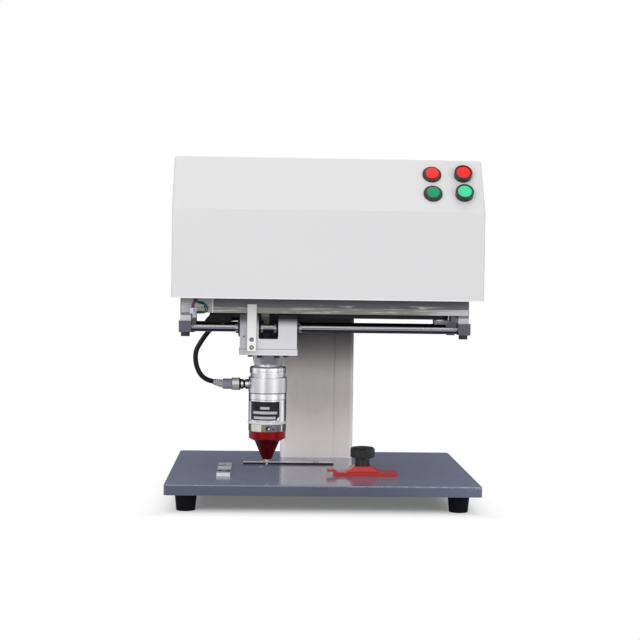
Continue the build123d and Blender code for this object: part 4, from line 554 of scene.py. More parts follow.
def nose_anodised(metals):
    """Red anodised metal with fine turning rings, dark on its cone, with a small knock on its band, painted
    highlights on the band, and painted reflections that darken its sides and the front of the cone.
    """
    finish = Finish("nose_anodised", metallic=0.75)
    (z,) = finish.place("Z")
    turn = finish.turn()
    rings = finish.noise(0.4, stretch=UPRIGHT_RINGS)
    knock = turn.within(24, 40, 3) * z.within(96.5, 99.5, 0.7) * finish.noise(1.6, 3, 0.6).rise(0.42, 0.6)
    cone = 1 - z.rise(90.6, 91.4)
    land = 1 - z.rise(63.4, 63.8)
    # Painted highlights on the band: this glow is painted, the part gives no light.
    glow = turn.within(-26, -14, 8).most(turn.within(8, 18, 8) * 0.6) * (1 - cone)
    shade = (0.8 + 0.2 * finish.noise(12) + 0.1 * rings) * (1 - 0.42 * cone) * (1 + 0.3 * glow)
    # Painted reflections darken the sides and the front of the cone.
    shade = shade * (1 - 0.75 * abs(turn).within(58, 92, 12)) * (1 - 0.3 * cone * turn.within(-12, 4, 6))
    tint = finish.lighten(metals.nose, shade)
    tint = finish.layers(tint, (knock * 0.7, tone(58, 8, 12)), (land, tone(226, 222, 220)))
    return finish.done(tint, 0.22 + 0.08 * rings + 0.2 * knock, rings * 0.003 - knock * 0.01)


def scale_finish(paints, metals):
    """Scale ring: a cream face, a bare face with a grub screw and a hole, a bright index line, a painted
    glint on the screw, and painted reflections that darken the bare face's sides.
    """
    finish = Finish("scale_finish", specular_ior_level=0.3)
    (z,) = finish.place("Z")
    turn = finish.turn()
    rings = finish.noise(0.35, stretch=UPRIGHT_RINGS)

    def dot(degrees, height, inner, outer):
        """1 on a round spot, whose edge lies between two squared radii."""
        return 1 - (((turn - degrees) * RING_MM_PER_DEGREE) ** 2 + (z - height) ** 2).rise(inner, outer)

    cream = turn.within(-58, -18, 1.2)
    # Painted glint on the grub screw.
    glint = dot(5, 110.8, 1.0, 2.4)
    hole = dot(19, 110.0, 0.9, 1.7)
    dark = dot(2, 111.2, 5.6, 7.4).most(hole)
    face = finish.layers(
        # Painted reflections darken the bare face's sides.
        finish.lighten(metals.casing, (0.2 + 0.05 * rings) * (1 - 0.9 * abs(turn).within(56, 92, 6))),
        (cream, paints.scale),
        (turn.within(-18, -4, 1.2), tone(142, 142, 122)),
        (turn.within(47, 51, 0.8), tone(236, 236, 242)),
        (dark, tone(14, 14, 16)),
        (glint, tone(214, 216, 220)),
    )
    return finish.done(
        face,
        0.26 + 0.2 * cream + 0.2 * hole + 0.06 * rings,
        rings * 0.002 - dark * 0.25 + glint * 0.1,
        metallic=(1 - cream) * (1 - dark) * 0.9,
    )


def label_finish(paints):
    """Dark plate with a pale rim, three plain bars and one clipped corner."""
    finish = Finish("label_finish", ior=1.5, specular_ior_level=0.3)
    (z,) = finish.place("Z")
    turn = finish.turn()
    ragged = finish.noise(1.1, 3, 0.6) * 0.5
    field = turn.within(-57, 38, 0.7) * z.within(123.4, 151.2, 0.25)
    bars = turn.within(-22, 6, 2.5) * z.within(139.6, 143.0, 0.8)
    bars = bars.most(turn.within(-47, 30, 2.5) * z.within(132.6, 136.4, 0.9))
    bars = bars.most(turn.within(-44, 25, 2.5) * z.within(125.2, 128.8, 0.8))
    corner = (turn * 0.36 - z + 115.5).rise(0.0, 0.6) * turn.within(30, 38, 0.5)
    shade = finish.layers(
        tone(206, 205, 212),
        (field, paints.label),
        (bars * (0.62 + ragged * 0.7), paints.bars),
        (corner * field, tone(244, 244, 248)),
    )
    return finish.done(shade, 0.3 + 0.12 * bars, field * -0.03 + bars * 0.01, metallic=(1 - field) * 0.6)


def casing_finish(metals):
    """Polished casing: painted reflections as soft upright streaks and dark side walls beside the label, and
    dark seams.
    """
    finish = Finish("casing_finish", metallic=1.0)
    (z,) = finish.place("Z")
    turn = finish.turn()
    rings = finish.noise(0.35, stretch=UPRIGHT_RINGS)
    cloud = finish.noise(9, 3, 0.6, seed=2.0)
    band = z.within(151.8, 162.4, 0.5)
    # Painted reflections: the side walls are painted dark.
    side = abs(turn).within(61, 96, 5) * (1 - band)
    groove = z.within(161.2, 162.8, 0.3).most(z.within(152.4, 153.6, 0.3) * 0.7)
    shade = (0.95 + 0.04 * cloud + 0.04 * rings) * (1 - 0.2 * painted_reflection_streaks(turn, 36, 50, 7))
    shade = shade * (1 - 0.86 * side) * (1 - 0.6 * groove) * (1 - 0.75 * abs(turn).within(63, 92, 7))
    tint = finish.lighten(metals.casing, shade)
    return finish.done(tint, 0.22 + 0.05 * rings + 0.04 * cloud, rings * 0.0004)


def beam_finish(metals):
    """Brushed beam with painted light: a web in a darker shaded copy of the lip's colour under the cover, a
    lighter lip, painted highlights as streaks on the lip and along the left end's edge, and streaks along
    both.
    """
    finish = Finish("beam_finish", metallic=0.9)
    x, y, z = finish.place()
    grain = finish.noise(0.9, 3, 0.6, (60, 1, 1))
    streak = finish.noise(3.2, 4, 0.65, (16, 1, 1), 2.0)
    painted_streak_highlight = streak.rise(0.54, 0.66) * z.within(288.6, 293.2, 1.0) * x.within(-60, 150, 30)
    lip = 1 - z.rise(288.9, 289.5)
    # Painted shade: the web takes a darker copy of the lip's colour. Painted highlights: streaks on the lip
    # and a line along the left end's edge.
    tint = finish.layers(
        tone(118, 117, 122),
        (lip, metals.beam),
        (x.rise(110, 190) * lip, tone(196, 195, 198)),
        (1 - x.rise(-160.2, -159.8), tone(176, 175, 180)),
        (painted_streak_highlight.most(lip * streak.rise(0.52, 0.64) * 0.6), tone(226, 226, 226)),
        (x.within(-160.4, -159.0, 0.15) * (1 - y.rise(-129.4, -129.0)), tone(240, 240, 240)),
    )
    # Painted shade, darker towards the top of the web.
    shade = (0.86 + 0.14 * grain + 0.14 * streak) * (1.0 - 0.3 * z.rise(289, 300))
    return finish.done(finish.lighten(tint, shade), 0.36 + 0.1 * streak + 0.06 * grain, grain * 0.008)


def chromed_bar():
    """Chromed bar of the stop, painted nearly white with little metal, and with painted reflections: dark
    areas where it would mirror the head.
    """
    finish = Finish("chromed_bar", metallic=0.1)
    y, z = finish.place("YZ")
    wave = y + 26 * (finish.noise(9, seed=4.0) - 0.5)
    # Painted reflections: dark areas where the bar would mirror the head.
    painted_reflection_patches = (wave.within(-58, -40, 4) + 0.7 * wave.within(4, 12, 4) + 0.6 * wave.rise(34, 40)).least(1)
    painted_reflection_patches = painted_reflection_patches * z.rise(44.2, 44.6)
    # Painted sheen: a nearly white colour on a barely metallic shader.
    shine = finish.lighten(tone(252, 252, 255), 0.9 + 0.1 * finish.noise(2))
    tint = finish.mix(painted_reflection_patches, shine, tone(44, 46, 58))
    return finish.done(tint, 0.16 + 0.1 * painted_reflection_patches, finish.noise(3) * 0.004)


def fence_finish():
    """Ground fence with a painted white top as painted sheen, a front face painted nearly black as a painted
    reflection, and stains on the top.
    """
    finish = Finish("fence_finish", specular_ior_level=0.2)
    y, z = finish.place("YZ")
    grain = finish.noise(1.2, 3, 0.6, (30, 1, 1))
    # Painted reflection: the front face is painted nearly black, and the top is painted white as painted
    # sheen.
    front = 1 - y.rise(58.2, 58.6)
    stain = finish.noise(9, 3, 0.6, (2, 1, 1)).rise(0.56, 0.64) * z.rise(42.3, 42.5) * 0.5
    tint = finish.layers(tone(255, 255, 255), (front, tone(30, 31, 38)), (stain, tone(120, 122, 134)))
    return finish.done(finish.lighten(tint, 0.88 + 0.14 * grain), 0.26 + 0.08 * grain, grain * 0.004)


def rod_clamp_finish(paints):
    """Grey painted clamp blocks, lighter on top, with black bolt heads below them."""
    finish = Finish("rod_clamp_finish", ior=1.5)
    (z,) = finish.place("Z")
    bolt = 1 - z.rise(252.7, 252.9)
    grain = finish.noise(1.2, 3, 0.6)
    paint = finish.lighten(paints.rod_clamp, 0.86 + 0.24 * grain)
    paler_top = z.rise(268.9, 269.5) * 0.7
    tint = finish.layers(paint, (paler_top, tone(196, 194, 200)), (bolt, tone(46, 46, 49)))
    return finish.done(tint, 0.36 + 0.1 * grain, grain * 0.01, metallic=0.25 + 0.2 * bolt)


def bushing_finish():
    """Bushings with collars at both ends and dark rubber seals beside them, with a painted highlight along
    the collars' tops, a painted dark reflection line below it, and painted shade in black under them.
    """
    finish = Finish("bushing_finish")
    x, z = finish.place("XZ")
    off = abs(x - HEAD_AXIS_MM[0])
    # The seal mask also paints the lower part black as painted shade.
    seal = off.within(40.3, 43.4, 0.12).most(off.within(10.8, 14.2, 0.12)).most(1 - z.rise(253.2, 254.0))
    # The line mask paints a dark reflection line across the collars, and dark joints at their ends.
    line = z.within(256.8, 258.0, 0.3).most(off.within(44.4, 44.9, 0.15)).most(off.within(9.2, 9.7, 0.15))
    # Painted highlight along the tops, not metallic there.
    top = z.within(258.8, 263.0, 0.4)
    rings = finish.noise(0.4, stretch=(1, 60, 60))
    steel = finish.layers(tone(168, 168, 178), (top, tone(246, 246, 248)), (line, tone(70, 70, 78)))
    return finish.done(
        finish.mix(seal, finish.lighten(steel, 0.92 + 0.1 * rings), tone(20, 20, 24)),
        0.2 + 0.3 * seal + 0.06 * rings,
        rings * 0.002,
        metallic=0.2 * (1 - seal.most(top)),
    )


def carriage_finish(metals):
    """Milled fork and plate: a seam between them, painted shade on the top under the beam, darker towards the
    left, a painted highlight below the plate's bevel, and a dark rear.
    """
    finish = Finish("carriage_finish", metallic=0.5)
    x, y, z = finish.place()
    grain = finish.noise(0.7, 3, 0.6)
    cloud = finish.noise(22, 3, 0.55)
    marks = finish.noise(5.5, 5, 0.75, seed=9.0).rise(0.62, 0.72)
    front = 1 - y.rise(-131.4, -130.9)
    seam = z.within(229.7, 230.6, 0.25) * (1 - y.rise(-105.5, -104.5))
    lip = z.within(224.0, 224.8, 0.3) * front
    # Painted highlight below the plate's bevel.
    hem_highlight = (1 - z.rise(223.6, 224.2)) * front
    rear = z.rise(231, 233) * y.rise(-105.6, -104.8)
    # Painted shade on the top of the fork, under the beam.
    top = (0.8 + 0.185 * x.rise(-98, -92)) * z.rise(261, 275)
    shade = (0.92 + 0.08 * grain + 0.08 * cloud - 0.1 * marks) * (1 - top)
    shade = shade * (1 - 0.34 * (1 - x.rise(-114, -86)))
    shade = shade * (1 - 0.5 * seam) * (1 - 0.16 * lip) * (1 + 0.14 * hem_highlight)
    tint = finish.mix(rear, finish.lighten(metals.fork, shade), tone(48, 47, 54))
    return finish.done(tint, 0.4 + 0.1 * cloud + 0.05 * grain, grain * 0.004 - seam * 0.08)


def strip_finish(metals):
    """Brushed strip, darker along its edges, with painted shade making it a little darker towards its top."""
    finish = Finish("strip_finish", metallic=0.15)
    x, z = finish.place("XZ")
    grain = finish.noise(0.7, 3, 0.6, (1, 1, 26))
    edge = abs(x - STRIP_MIDDLE_MM).rise(6.0, 6.8)
    # Painted shade: a little darker towards the top.
    shade = (0.94 + 0.06 * grain) * (1 - 0.55 * edge) * (1 - 0.12 * z.rise(262, 300))
    return finish.done(finish.lighten(metals.strip, shade), 0.34 + 0.08 * grain, grain * 0.004)


def head_screw_finish():
    """Screws of the carriage: socket heads with a dark rim and painted shade in their sockets on the strip,
    blackened ones under the plate.
    """
    finish = Finish("head_screw_finish")
    x, y, z = finish.place()
    upper, lower = (((x - STRIP_MIDDLE_MM) ** 2 + (z - height) ** 2) ** 0.5 for height in (243.8, 232.6))
    nearest = upper.least(lower)
    front = 1 - y.rise(-130, -129)
    # Painted shade inside the sockets.
    socket = 1 - nearest.rise(0.8, 1.3)
    brass = 1 - lower.rise(4, 5)
    face = finish.layers(
        tone(168, 168, 176),
        (brass, tone(206, 200, 160)),
        (socket * (0.85 - 0.6 * brass), tone(70, 70, 78)),
        (nearest.rise(1.6, 1.9), tone(40, 39, 34)),
    )
    return finish.done(
        finish.mix(front, tone(24, 24, 27), face),
        0.3,
        finish.noise(0.6) * 0.004 - socket * front * 0.2,
        metallic=0.4 * front,
    )


def belt_clamp_finish():
    """Belt clamp in a muted greenish alloy, darker in its lower half and on its neck."""
    finish = Finish("belt_clamp_finish", metallic=0.5)
    (z,) = finish.place("Z")
    grain = finish.noise(0.9, 3, 0.6)
    tint = finish.layers(
        tone(112, 112, 102),
        (z.rise(274.5, 276.0), tone(158, 158, 146)),
        (1 - z.rise(261, 266), tone(58, 58, 70)),
    )
    return finish.done(finish.lighten(tint, 0.88 + 0.2 * grain), 0.42 + 0.1 * grain, grain * 0.01)


def plug_finish(paints):
    """Nickel coupling nut with dark ends, a painted highlight along its top and painted shade in its knurl
    grooves, and the ribbed boot behind it, whose ribs are painted in light and shade.
    """
    finish = Finish("plug_finish", ior=1.47)
    x, y, z = finish.place()
    nut = x.rise(-133.5, -133.1)
    ridge = finish.angle(y - PLUG_AXIS_MM[0], z - PLUG_AXIS_MM[1]).saw(12).rise(0.1, 0.4)
    grain = finish.noise(0.5)
    rear = 1 - x.rise(-146.6, -146.0)
    rib_light_and_shade = (x + 146.2).saw(2.9).rise(0.2, 0.34)
    boot = finish.lighten(paints.boot, 0.86 + 0.16 * grain + 0.1 * finish.noise(6, 3).rise(0.4, 0.7))
    # Painted light and shade on the boot's ribs: lit crests and dark grooves.
    boot = finish.mix(rear, boot, finish.mix(rib_light_and_shade, tone(216, 214, 224), tone(18, 18, 26)))
    # Painted highlight along the nut's top half.
    metal = finish.mix(z.within(174.6, 180.4, 1.6), tone(196, 195, 192), tone(248, 247, 244))
    ends = x.within(-122.6, -121.0, 0.2).most(x.within(-133.2, -132.6, 0.2))
    # Painted shade in the knurl's grooves.
    metal = finish.mix(ends, finish.lighten(metal, 0.72 + 0.28 * ridge), tone(34, 34, 34))
    return finish.done(
        finish.mix(nut, boot, metal),
        0.46 - 0.24 * nut + 0.06 * grain,
        nut * ridge * 0.18 + grain * 0.008,
        metallic=nut * 0.3,
    )


def panel_socket_finish():
    """Panel socket with a painted highlight band, painted shade along its underside, and a dark groove and
    ends.
    """
    finish = Finish("panel_socket_finish", metallic=0.8)
    x, z = finish.place("XZ")
    rings = finish.noise(0.4, stretch=CROSSWISE_RINGS)
    # The dark mask also paints the underside dark as painted shade.
    dark = x.within(-121.2, -119.6, 0.2).most(x.within(-116.6, -113.4, 0.3)).most(1 - z.rise(168.2, 169.4))
    # Painted highlight band.
    bright = z.within(171.5, 178.5, 1.0)
    tint = finish.layers(tone(120, 120, 118), (bright, tone(248, 247, 242)), (dark, tone(36, 36, 36)))
    return finish.done(tint, 0.2 + 0.1 * rings, rings * 0.003)


def switch_finish(paints):
    """Switch in off-white and beige, with its brown leads, steel lever and rubber grommet."""
    finish = Finish("switch_finish", ior=1.47)
    x, z = finish.place("XZ")
    grommet = z.rise(298.2, 298.4)
    lead = z.rise(287.7, 287.9) * (1 - grommet)
    lever = x.rise(-171.1, -170.9) * (1 - z.rise(288, 289))
    stain = finish.noise(2.4, 3, 0.6)
    body = finish.layers(
        tone(232, 231, 236),
        (x.rise(-182.3, -181.7), tone(176, 158, 138)),
        (x.within(-187.2, -182.6, 0.4) * stain.rise(0.35, 0.6), tone(168, 170, 190)),
        (lever, tone(206, 206, 204)),
        (lead, paints.brown_wire),
        (grommet, paints.rubber),
    )
    tint = finish.lighten(body, 0.9 + 0.2 * stain)
    return finish.done(tint, 0.38 + 0.1 * finish.noise(0.6), stain * 0.02, metallic=lever)


def motor_finish(name, low, high):
    """Stepper motor between two heights: black laminations, satin end caps and a dark guard below, with
    painted sheen as light streaks on the guard.
    """
    finish = Finish(name, specular_ior_level=0.2)
    y, z = finish.place("YZ")
    height = high - low
    stack = z.within(low + 0.36 * height, high - 0.2 * height, 0.15)
    grain = finish.noise(0.8)
    guard = (1 - z.rise(low - 4.1, low - 3.9)) * (1 - y.rise(-92, -91))
    # Painted sheen: light streaks low on the guard.
    rub_and_sheen = finish.noise(3.0, 3, 0.6, (5, 1, 1), 7.0).rise(0.5, 0.62) * z.within(270, 277, 1.2)
    body = finish.layers(
        tone(178, 178, 184),
        (stack, tone(34, 34, 37)),
        (guard, tone(10, 11, 13)),
        (guard * rub_and_sheen, tone(70, 69, 68)),
    )
    return finish.done(
        body,
        0.36 + 0.14 * stack + 0.08 * grain,
        stack * z.saw(0.6) * 0.03 + grain * 0.004,
        metallic=(0.9 - 0.6 * stack) * (1 - guard),
    )


def board_finish(paints):
    """Circuit board: green lacquer with copper tracks, and dark parts standing on it."""
    finish = Finish("board_finish", ior=1.5, coat_weight=0.3)
    x, z = finish.place("XZ")
    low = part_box("control_board")[0].z / MM
    track = x.saw(3.2).rise(0.34, 0.4) * finish.noise(14, 1).rise(0.42, 0.5)
    part = z.rise(low + 12.4, low + 12.8)
    tint = finish.layers(paints.board, (track, tone(46, 112, 66)), (part, tone(34, 34, 38)))
    return finish.done(tint, 0.32 + 0.2 * part, track * 0.03)


def coil_finish(metals):
    """Enamelled copper wire wound in layers, with painted shade in the grooves between the turns."""
    finish = Finish("coil_finish", metallic=0.9)
    (z,) = finish.place("Z")
    turns = z.saw(0.5)
    return finish.done(finish.lighten(metals.copper, 0.7 + 0.6 * turns), 0.24 + 0.2 * turns, turns * 0.12)


def belt_finish(paints):
    """Belt rubber with its fabric grain."""
    finish = Finish("belt_rubber", ior=1.5)
    weave = abs(finish.noise(0.5, 1) - 0.5) * 2
    return finish.done(finish.lighten(paints.belt, 0.85 + 0.3 * weave), 0.55 + 0.1 * weave, weave * 0.02)


def sheath_finish(name, shade):
    """Extruded sheath of a cable or wire, slightly uneven."""
    finish = Finish(name, ior=1.5, specular_ior_level=0.3)
    grain = finish.noise(1.8, 3, 0.55)
    return finish.done(finish.lighten(shade, 0.88 + 0.22 * grain), 0.34 + 0.12 * grain, grain * 0.01)


def dress(material, *names):
    """Gives CAD nodes their material, in their own slots."""
    for name in names:
        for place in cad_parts[name].material_slots:
            place.material = material


# ---------------------------------------------------------------- new pieces


def scene_object(name, data):
    """A new object in the scene."""
    item = bpy.data.objects.new(name, data)
    bpy.context.scene.collection.objects.link(item)
    return item


def new_piece(name, data, material, body, node):
    """A mesh or curve in the frame's coordinates that rides on a body and stands for a CAD node."""
    piece = scene_object(name, data)
    data.materials.append(material)
    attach(piece, body)
    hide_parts(node)
    return piece


def toothed_belt(node, body, centres_mm, cords, material):
    """A closed belt round two pulleys in a CAD belt's place, with trapezoid teeth on its inner side."""
    low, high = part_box(node)
    width = high.z - low.z
    axis_z = (low.z + high.z) / 2
    thickness = BELT_THICKNESS_MM * MM
    radius = min(high.x - low.x, high.y - low.y) / 2 - thickness / 2
    start, end = (Vector([value * MM for value in centre]) for centre in centres_mm)
    along = (end - start).normalized()
    aside = Vector((-along.y, along.x))
    run = (end - start).length
    arc = math.pi * radius
    total = 2 * (run + arc)
    count = round(total / cords.tooth_pitch)
    profile = ((0.0, 0), (0.22, 0), (0.34, 1), (0.66, 1), (0.78, 0))

    def spot(distance):
        """The belt's middle line at a distance along it, and the way out of the loop there."""
        returning, distance = divmod(distance, run + arc)
        near, far, way, out = (end, start, -along, aside) if returning else (start, end, along, -aside)
        if distance < run:
            return near + way * distance + out * radius, out
        angle = (distance - run) / radius
        out = out * math.cos(angle) + way * math.sin(angle)
        return far + out * radius, out

    shape = bmesh.new()
    rows = []
    for tooth in range(count):
        for step, up in profile:
            middle, out = spot((tooth + step) * total / count)
            inner = middle - out * (thickness / 2 + up * cords.tooth_height)
            outer = middle + out * thickness / 2
            corners = [(outer, -width / 2), (outer, width / 2), (inner, width / 2), (inner, -width / 2)]
            rows.append([shape.verts.new((point.x, point.y, axis_z + rise)) for point, rise in corners])
    for row, following in zip(rows, rows[1:] + rows[:1]):
        for side in range(4):
            after = (side + 1) % 4
            shape.faces.new((row[side], following[side], following[after], row[after]))
    bmesh.ops.recalc_face_normals(shape, faces=shape.faces)
    name = "toothed_" + node
    mesh = bpy.data.meshes.new(name)
    shape.to_mesh(mesh)
    shape.free()
    return new_piece(name, mesh, material, body, node)


def cord_piece(name, route_mm, diameter, material, body, node):
    """A smooth cord through the route's control points."""
    curve = bpy.data.curves.new(name, "CURVE")
    curve.dimensions = "3D"
    curve.bevel_depth = diameter / 2
    curve.bevel_resolution = 6
    curve.resolution_u = 16
    curve.use_fill_caps = True
    line = curve.splines.new("NURBS")
    line.points.add(len(route_mm) - 1)
    for point, place in zip(line.points, route_mm):
        point.co = (*(value * MM for value in place), 1)
    line.order_u = 3
    line.use_endpoint_u = True
    line.use_smooth = True
    return new_piece(name, curve, material, body, node)


HEAD_CABLE_ROUTE_MM = [
    (-160.0, -55.0, 177.4),
    (-168.3, -55.0, 179.2),
    (-176.4, -55.0, 184.2),
    (-182.2, -55.4, 191.7),
    (-186.7, -56.2, 203.9),
    (-187.3, -57.0, 221.4),
    (-180.5, -57.2, 234.3),
    (-169.2, -56.8, 251.0),
    (-156.4, -56.0, 262.8),
    (-138.6, -55.0, 271.0),
    (-124.4, -55.0, 271.0),
]
GREEN_WIRE_ROUTE_MM = [
    (-184.6, -134.3, 297.9),
    (-179.9, -134.3, 294.1),
    (-170.0, -134.3, 292.9),
    (-166.52, -134.3, 289.04),
    (-166.6, -134.3, 284.24),
    (-169.93, -134.3, 280.79),
    (-176.51, -134.3, 280.33),
    (-182.5, -134.3, 280.33),
]
# How much of a wire's shift each of those points takes along X and Z
GREEN_WIRE_SPREAD = (0.0, 0.3, 1.0, 1.0, 1.0, 1.0, 0.6, 0.2)
# Each wire's shift from that route and its length
GREEN_WIRES_MM = {
    "front_green_wire": ((0.0, 0.0, 0.0), 42.1),
    "upper_green_wire": ((-2.2, 1.0, 1.7), 38.0),
    "rear_green_wire": ((-4.6, 2.0, 3.6), 34.0),
}


def green_wire_route(shift):
    """Route of one green wire, whose two ends stay on the grommet and on the terminal."""
    along, across, up = shift
    return [
        (x + along * spread, y + across, z + up * spread)
        for (x, y, z), spread in zip(GREEN_WIRE_ROUTE_MM, GREEN_WIRE_SPREAD)
    ]


# ---------------------------------------------------------------- operators


class MARKER_OT_head_cable(bpy.types.Operator):
    """Lay the head's cable from its plug to the gland"""

    bl_idname = "marker.head_cable"
    bl_label = "Head cable"

    def execute(self, context):
        paints, _, cords, _ = settings()
        sheath = sheath_finish("cable_sheath", paints.cable)
        thick = cords.cable_diameter
        cable = cord_piece(
            "head_cable_sheath", HEAD_CABLE_ROUTE_MM, thick, sheath, "carriage", "head_cable"
        )
        dress(plug_finish(paints), "cable_plug")
        return {"FINISHED"}


class MARKER_OT_switch_wires(bpy.types.Operator):
    """Lay the green wires of the home switch"""

    bl_idname = "marker.switch_wires"
    bl_label = "Switch wires"

    def execute(self, context):
        paints, _, cords, _ = settings()
        sleeve = sheath_finish("wire_sleeve", paints.wire)
        thick = cords.wire_diameter
        for name, (shift, length_mm) in GREEN_WIRES_MM.items():
            route = green_wire_route(shift)
            wire = cord_piece(name, route, thick, sleeve, "gantry", "switch_wires")
        return {"FINISHED"}


class MARKER_OT_base(bpy.types.Operator):
    """Finish the base plate, its feet and the screws"""

    bl_idname = "marker.base"
    bl_label = "Base"

    def execute(self, context):
        paints, metals, *_ = settings()
        dress(base_enamel(paints), "base_plate")
        dress(moulded("foot_rubber", paints.rubber, 0.7, 0.8, 0.02, gloss=0.12), "rubber_feet")
        dress(milled("frame_screw_steel", metals.steel, rough=0.28), "frame_screws")
        return {"FINISHED"}


class MARKER_OT_column(bpy.types.Operator):
    """Finish the column and what stands inside it"""

    bl_idname = "marker.column"
    bl_label = "Column"

    def execute(self, context):
        _, metals, *_ = settings()
        dress(column_satin(metals), "column_cover")
        dress(milled("post_steel", tone(120, 120, 124), (1, 1, 30), 0.45), "column_post")
        return {"FINISHED"}


class MARKER_OT_cover(bpy.types.Operator):
    """Finish the cover, its rear panel and the frame inside it"""

    bl_idname = "marker.cover"
    bl_label = "Cover"

    def execute(self, context):
        paints, metals, *_ = settings()
        dress(cover_coat(paints), "head_cover")
        dress(rear_coat(paints), "rear_panel")
        dress(milled("frame_plate_alloy", tone(86, 85, 88), (30, 1, 1), 0.46), "head_frame_plate")
        dress(milled("socket_nickel", metals.nickel, rough=0.3), "control_socket")
        dress(board_finish(paints), "control_board")
        dress(milled("rail_steel", tone(176, 176, 180), (1, 40, 1), 0.2), "y_rails")
        dress(milled("rail_block_steel", tone(150, 150, 156), (1, 20, 1), 0.3), "y_rail_blocks")
        return {"FINISHED"}


class MARKER_OT_buttons(bpy.types.Operator):
    """Finish the four buttons, their bezels and switches"""

    bl_idname = "marker.buttons"
    bl_label = "Buttons"

    def execute(self, context):
        paints, *_ = settings()
        dress(moulded("bezel_black", tone(30, 31, 33), 0.3, 0.5, 0.006), "button_bezels")
        dress(moulded("switch_plastic", tone(44, 44, 48), 0.4), "button_switches")
        for cap, glow in (("green", 0.0), ("red", 0.0), ("lit_green", 0.12), ("lit_red", 0.06)):
            dress(button_cap("cap_" + cap, getattr(paints, cap), glow), cap + "_button")
        return {"FINISHED"}


class MARKER_OT_bridge(bpy.types.Operator):
    """Finish the bridge: end plates, beam, rods and their clamps"""

    bl_idname = "marker.bridge"
    bl_label = "Bridge"

    def execute(self, context):
        paints, metals, *_ = settings()
        dress(end_plate_finish(metals), "end_plates")
        dress(beam_finish(metals), "gantry_beam")
        dress(plated_rod(), "guide_rods")
        dress(rod_clamp_finish(paints), "rod_clamps")
        return {"FINISHED"}


class MARKER_OT_drives(bpy.types.Operator):
    """Finish motors and pulleys, and lay the toothed belts"""

    bl_idname = "marker.drives"
    bl_label = "Drives"

    def execute(self, context):
        paints, _, cords, _ = settings()
        dress(motor_finish("x_motor_finish", *X_MOTOR_HEIGHTS_MM), "x_motor")
        low, high = (corner.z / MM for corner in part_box("y_motor"))
        dress(motor_finish("y_motor_finish", low, high), "y_motor")
        pulley = turned_metal("pulley_alloy", tone(188, 188, 194), 0.26)
        dress(pulley, "x_drive_pulley", "x_idler_pulley", "y_drive_pulley", "y_idler_pulley")
        dress(milled("yoke_steel", tone(142, 142, 148)), "idler_yoke", "y_belt_clamp")
        rubber = belt_finish(paints)
        toothed_belt("x_belt", "gantry", X_PULLEYS_MM, cords, rubber)
        toothed_belt("y_belt", "frame", Y_PULLEYS_MM, cords, rubber)
        return {"FINISHED"}


class MARKER_OT_home_switch(bpy.types.Operator):
    """Finish the home switch and its grommet"""

    bl_idname = "marker.home_switch"
    bl_label = "Home switch"

    def execute(self, context):
        paints, *_ = settings()
        dress(switch_finish(paints), "limit_switch")
        return {"FINISHED"}


class MARKER_OT_carriage(bpy.types.Operator):
    """Finish the carriage: fork, plate, bushings, strip, gland and belt clamp"""

    bl_idname = "marker.carriage"
    bl_label = "Carriage"

    def execute(self, context):
        _, metals, *_ = settings()
        dress(carriage_finish(metals), "carriage_fork", "carriage_plate")
        dress(bushing_finish(), "linear_bearings")
        dress(strip_finish(metals), "flag_strip")
        dress(head_screw_finish(), "head_screws")
        dress(belt_clamp_finish(), "belt_clamp")
        dress(moulded("gland_black", tone(30, 30, 34), 0.4, gloss=0.25), "cable_gland")
        return {"FINISHED"}


class MARKER_OT_head(bpy.types.Operator):
    """Finish the marking head from its neck to the stylus"""

    bl_idname = "marker.head"
    bl_label = "Marking head"

    def execute(self, context):
        paints, metals, *_ = settings()
        dress(neck_finish(), "head_neck")
        dress(clamp_ring_finish(), "clamp_ring")
        dress(turned_metal("sleeve_alloy", metals.sleeve, 0.3, painted_reflection_depth=0.24), "connector_sleeve")
        dress(casing_finish(metals), "head_body")
        dress(label_finish(paints), "label_plate")
        dress(coil_finish(metals), "solenoid_coil")
        dress(moulded("seal_white", paints.seal, 0.4, 0.5, 0.004), "seal_ring")
        dress(scale_finish(paints, metals), "scale_ring")
        dress(nose_anodised(metals), "nose_cap")
        dress(turned_metal("stylus_steel", tone(196, 194, 190), 0.2), "stylus")
        dress(milled("spring_steel", tone(170, 168, 166), rough=0.24), "return_spring")
        dress(panel_socket_finish(), "connector_socket")
        return {"FINISHED"}


class MARKER_OT_fixture(bpy.types.Operator):
    """Finish the stop bar, the fence and the strap clamp"""

    bl_idname = "marker.fixture"
    bl_label = "Fixture"

    def execute(self, context):
        paints, *_ = settings()
        dress(chromed_bar(), "left_stop_bar")
        dress(fence_finish(), "rear_fence")
        dress(clamp_paint(paints), "clamp_strap", "clamp_saddle")
        dress(moulded("knob_plastic", paints.knob, 0.38, 0.5, 0.012), "clamp_knob")
        return {"FINISHED"}


# ---------------------------------------------------------------- stage


def area_lamp(name, place, aim, size, watts):
    """A large soft lamp that points at aim."""
    light = bpy.data.lights.new(name, "AREA")
    light.shape = "RECTANGLE"
    light.size = light.size_y = size
    light.energy = watts
    lamp = scene_object(name, light)
    lamp.location = place
    lamp.rotation_euler = (Vector(aim) - Vector(place)).to_track_quat("-Z", "Y").to_euler()


def flat_sheet(name, low, high, material):
    """A plain four-cornered sheet of the stage, lying or upright, between two opposite corners."""
    corners = [low, (high[0], low[1], low[2]), high, (low[0], high[1], high[2])]
    mesh = bpy.data.meshes.new(name)
    mesh.from_pydata(corners, [], [(0, 1, 2, 3)])
    mesh.materials.append(material)
    sheet = scene_object(name, mesh)
    return sheet


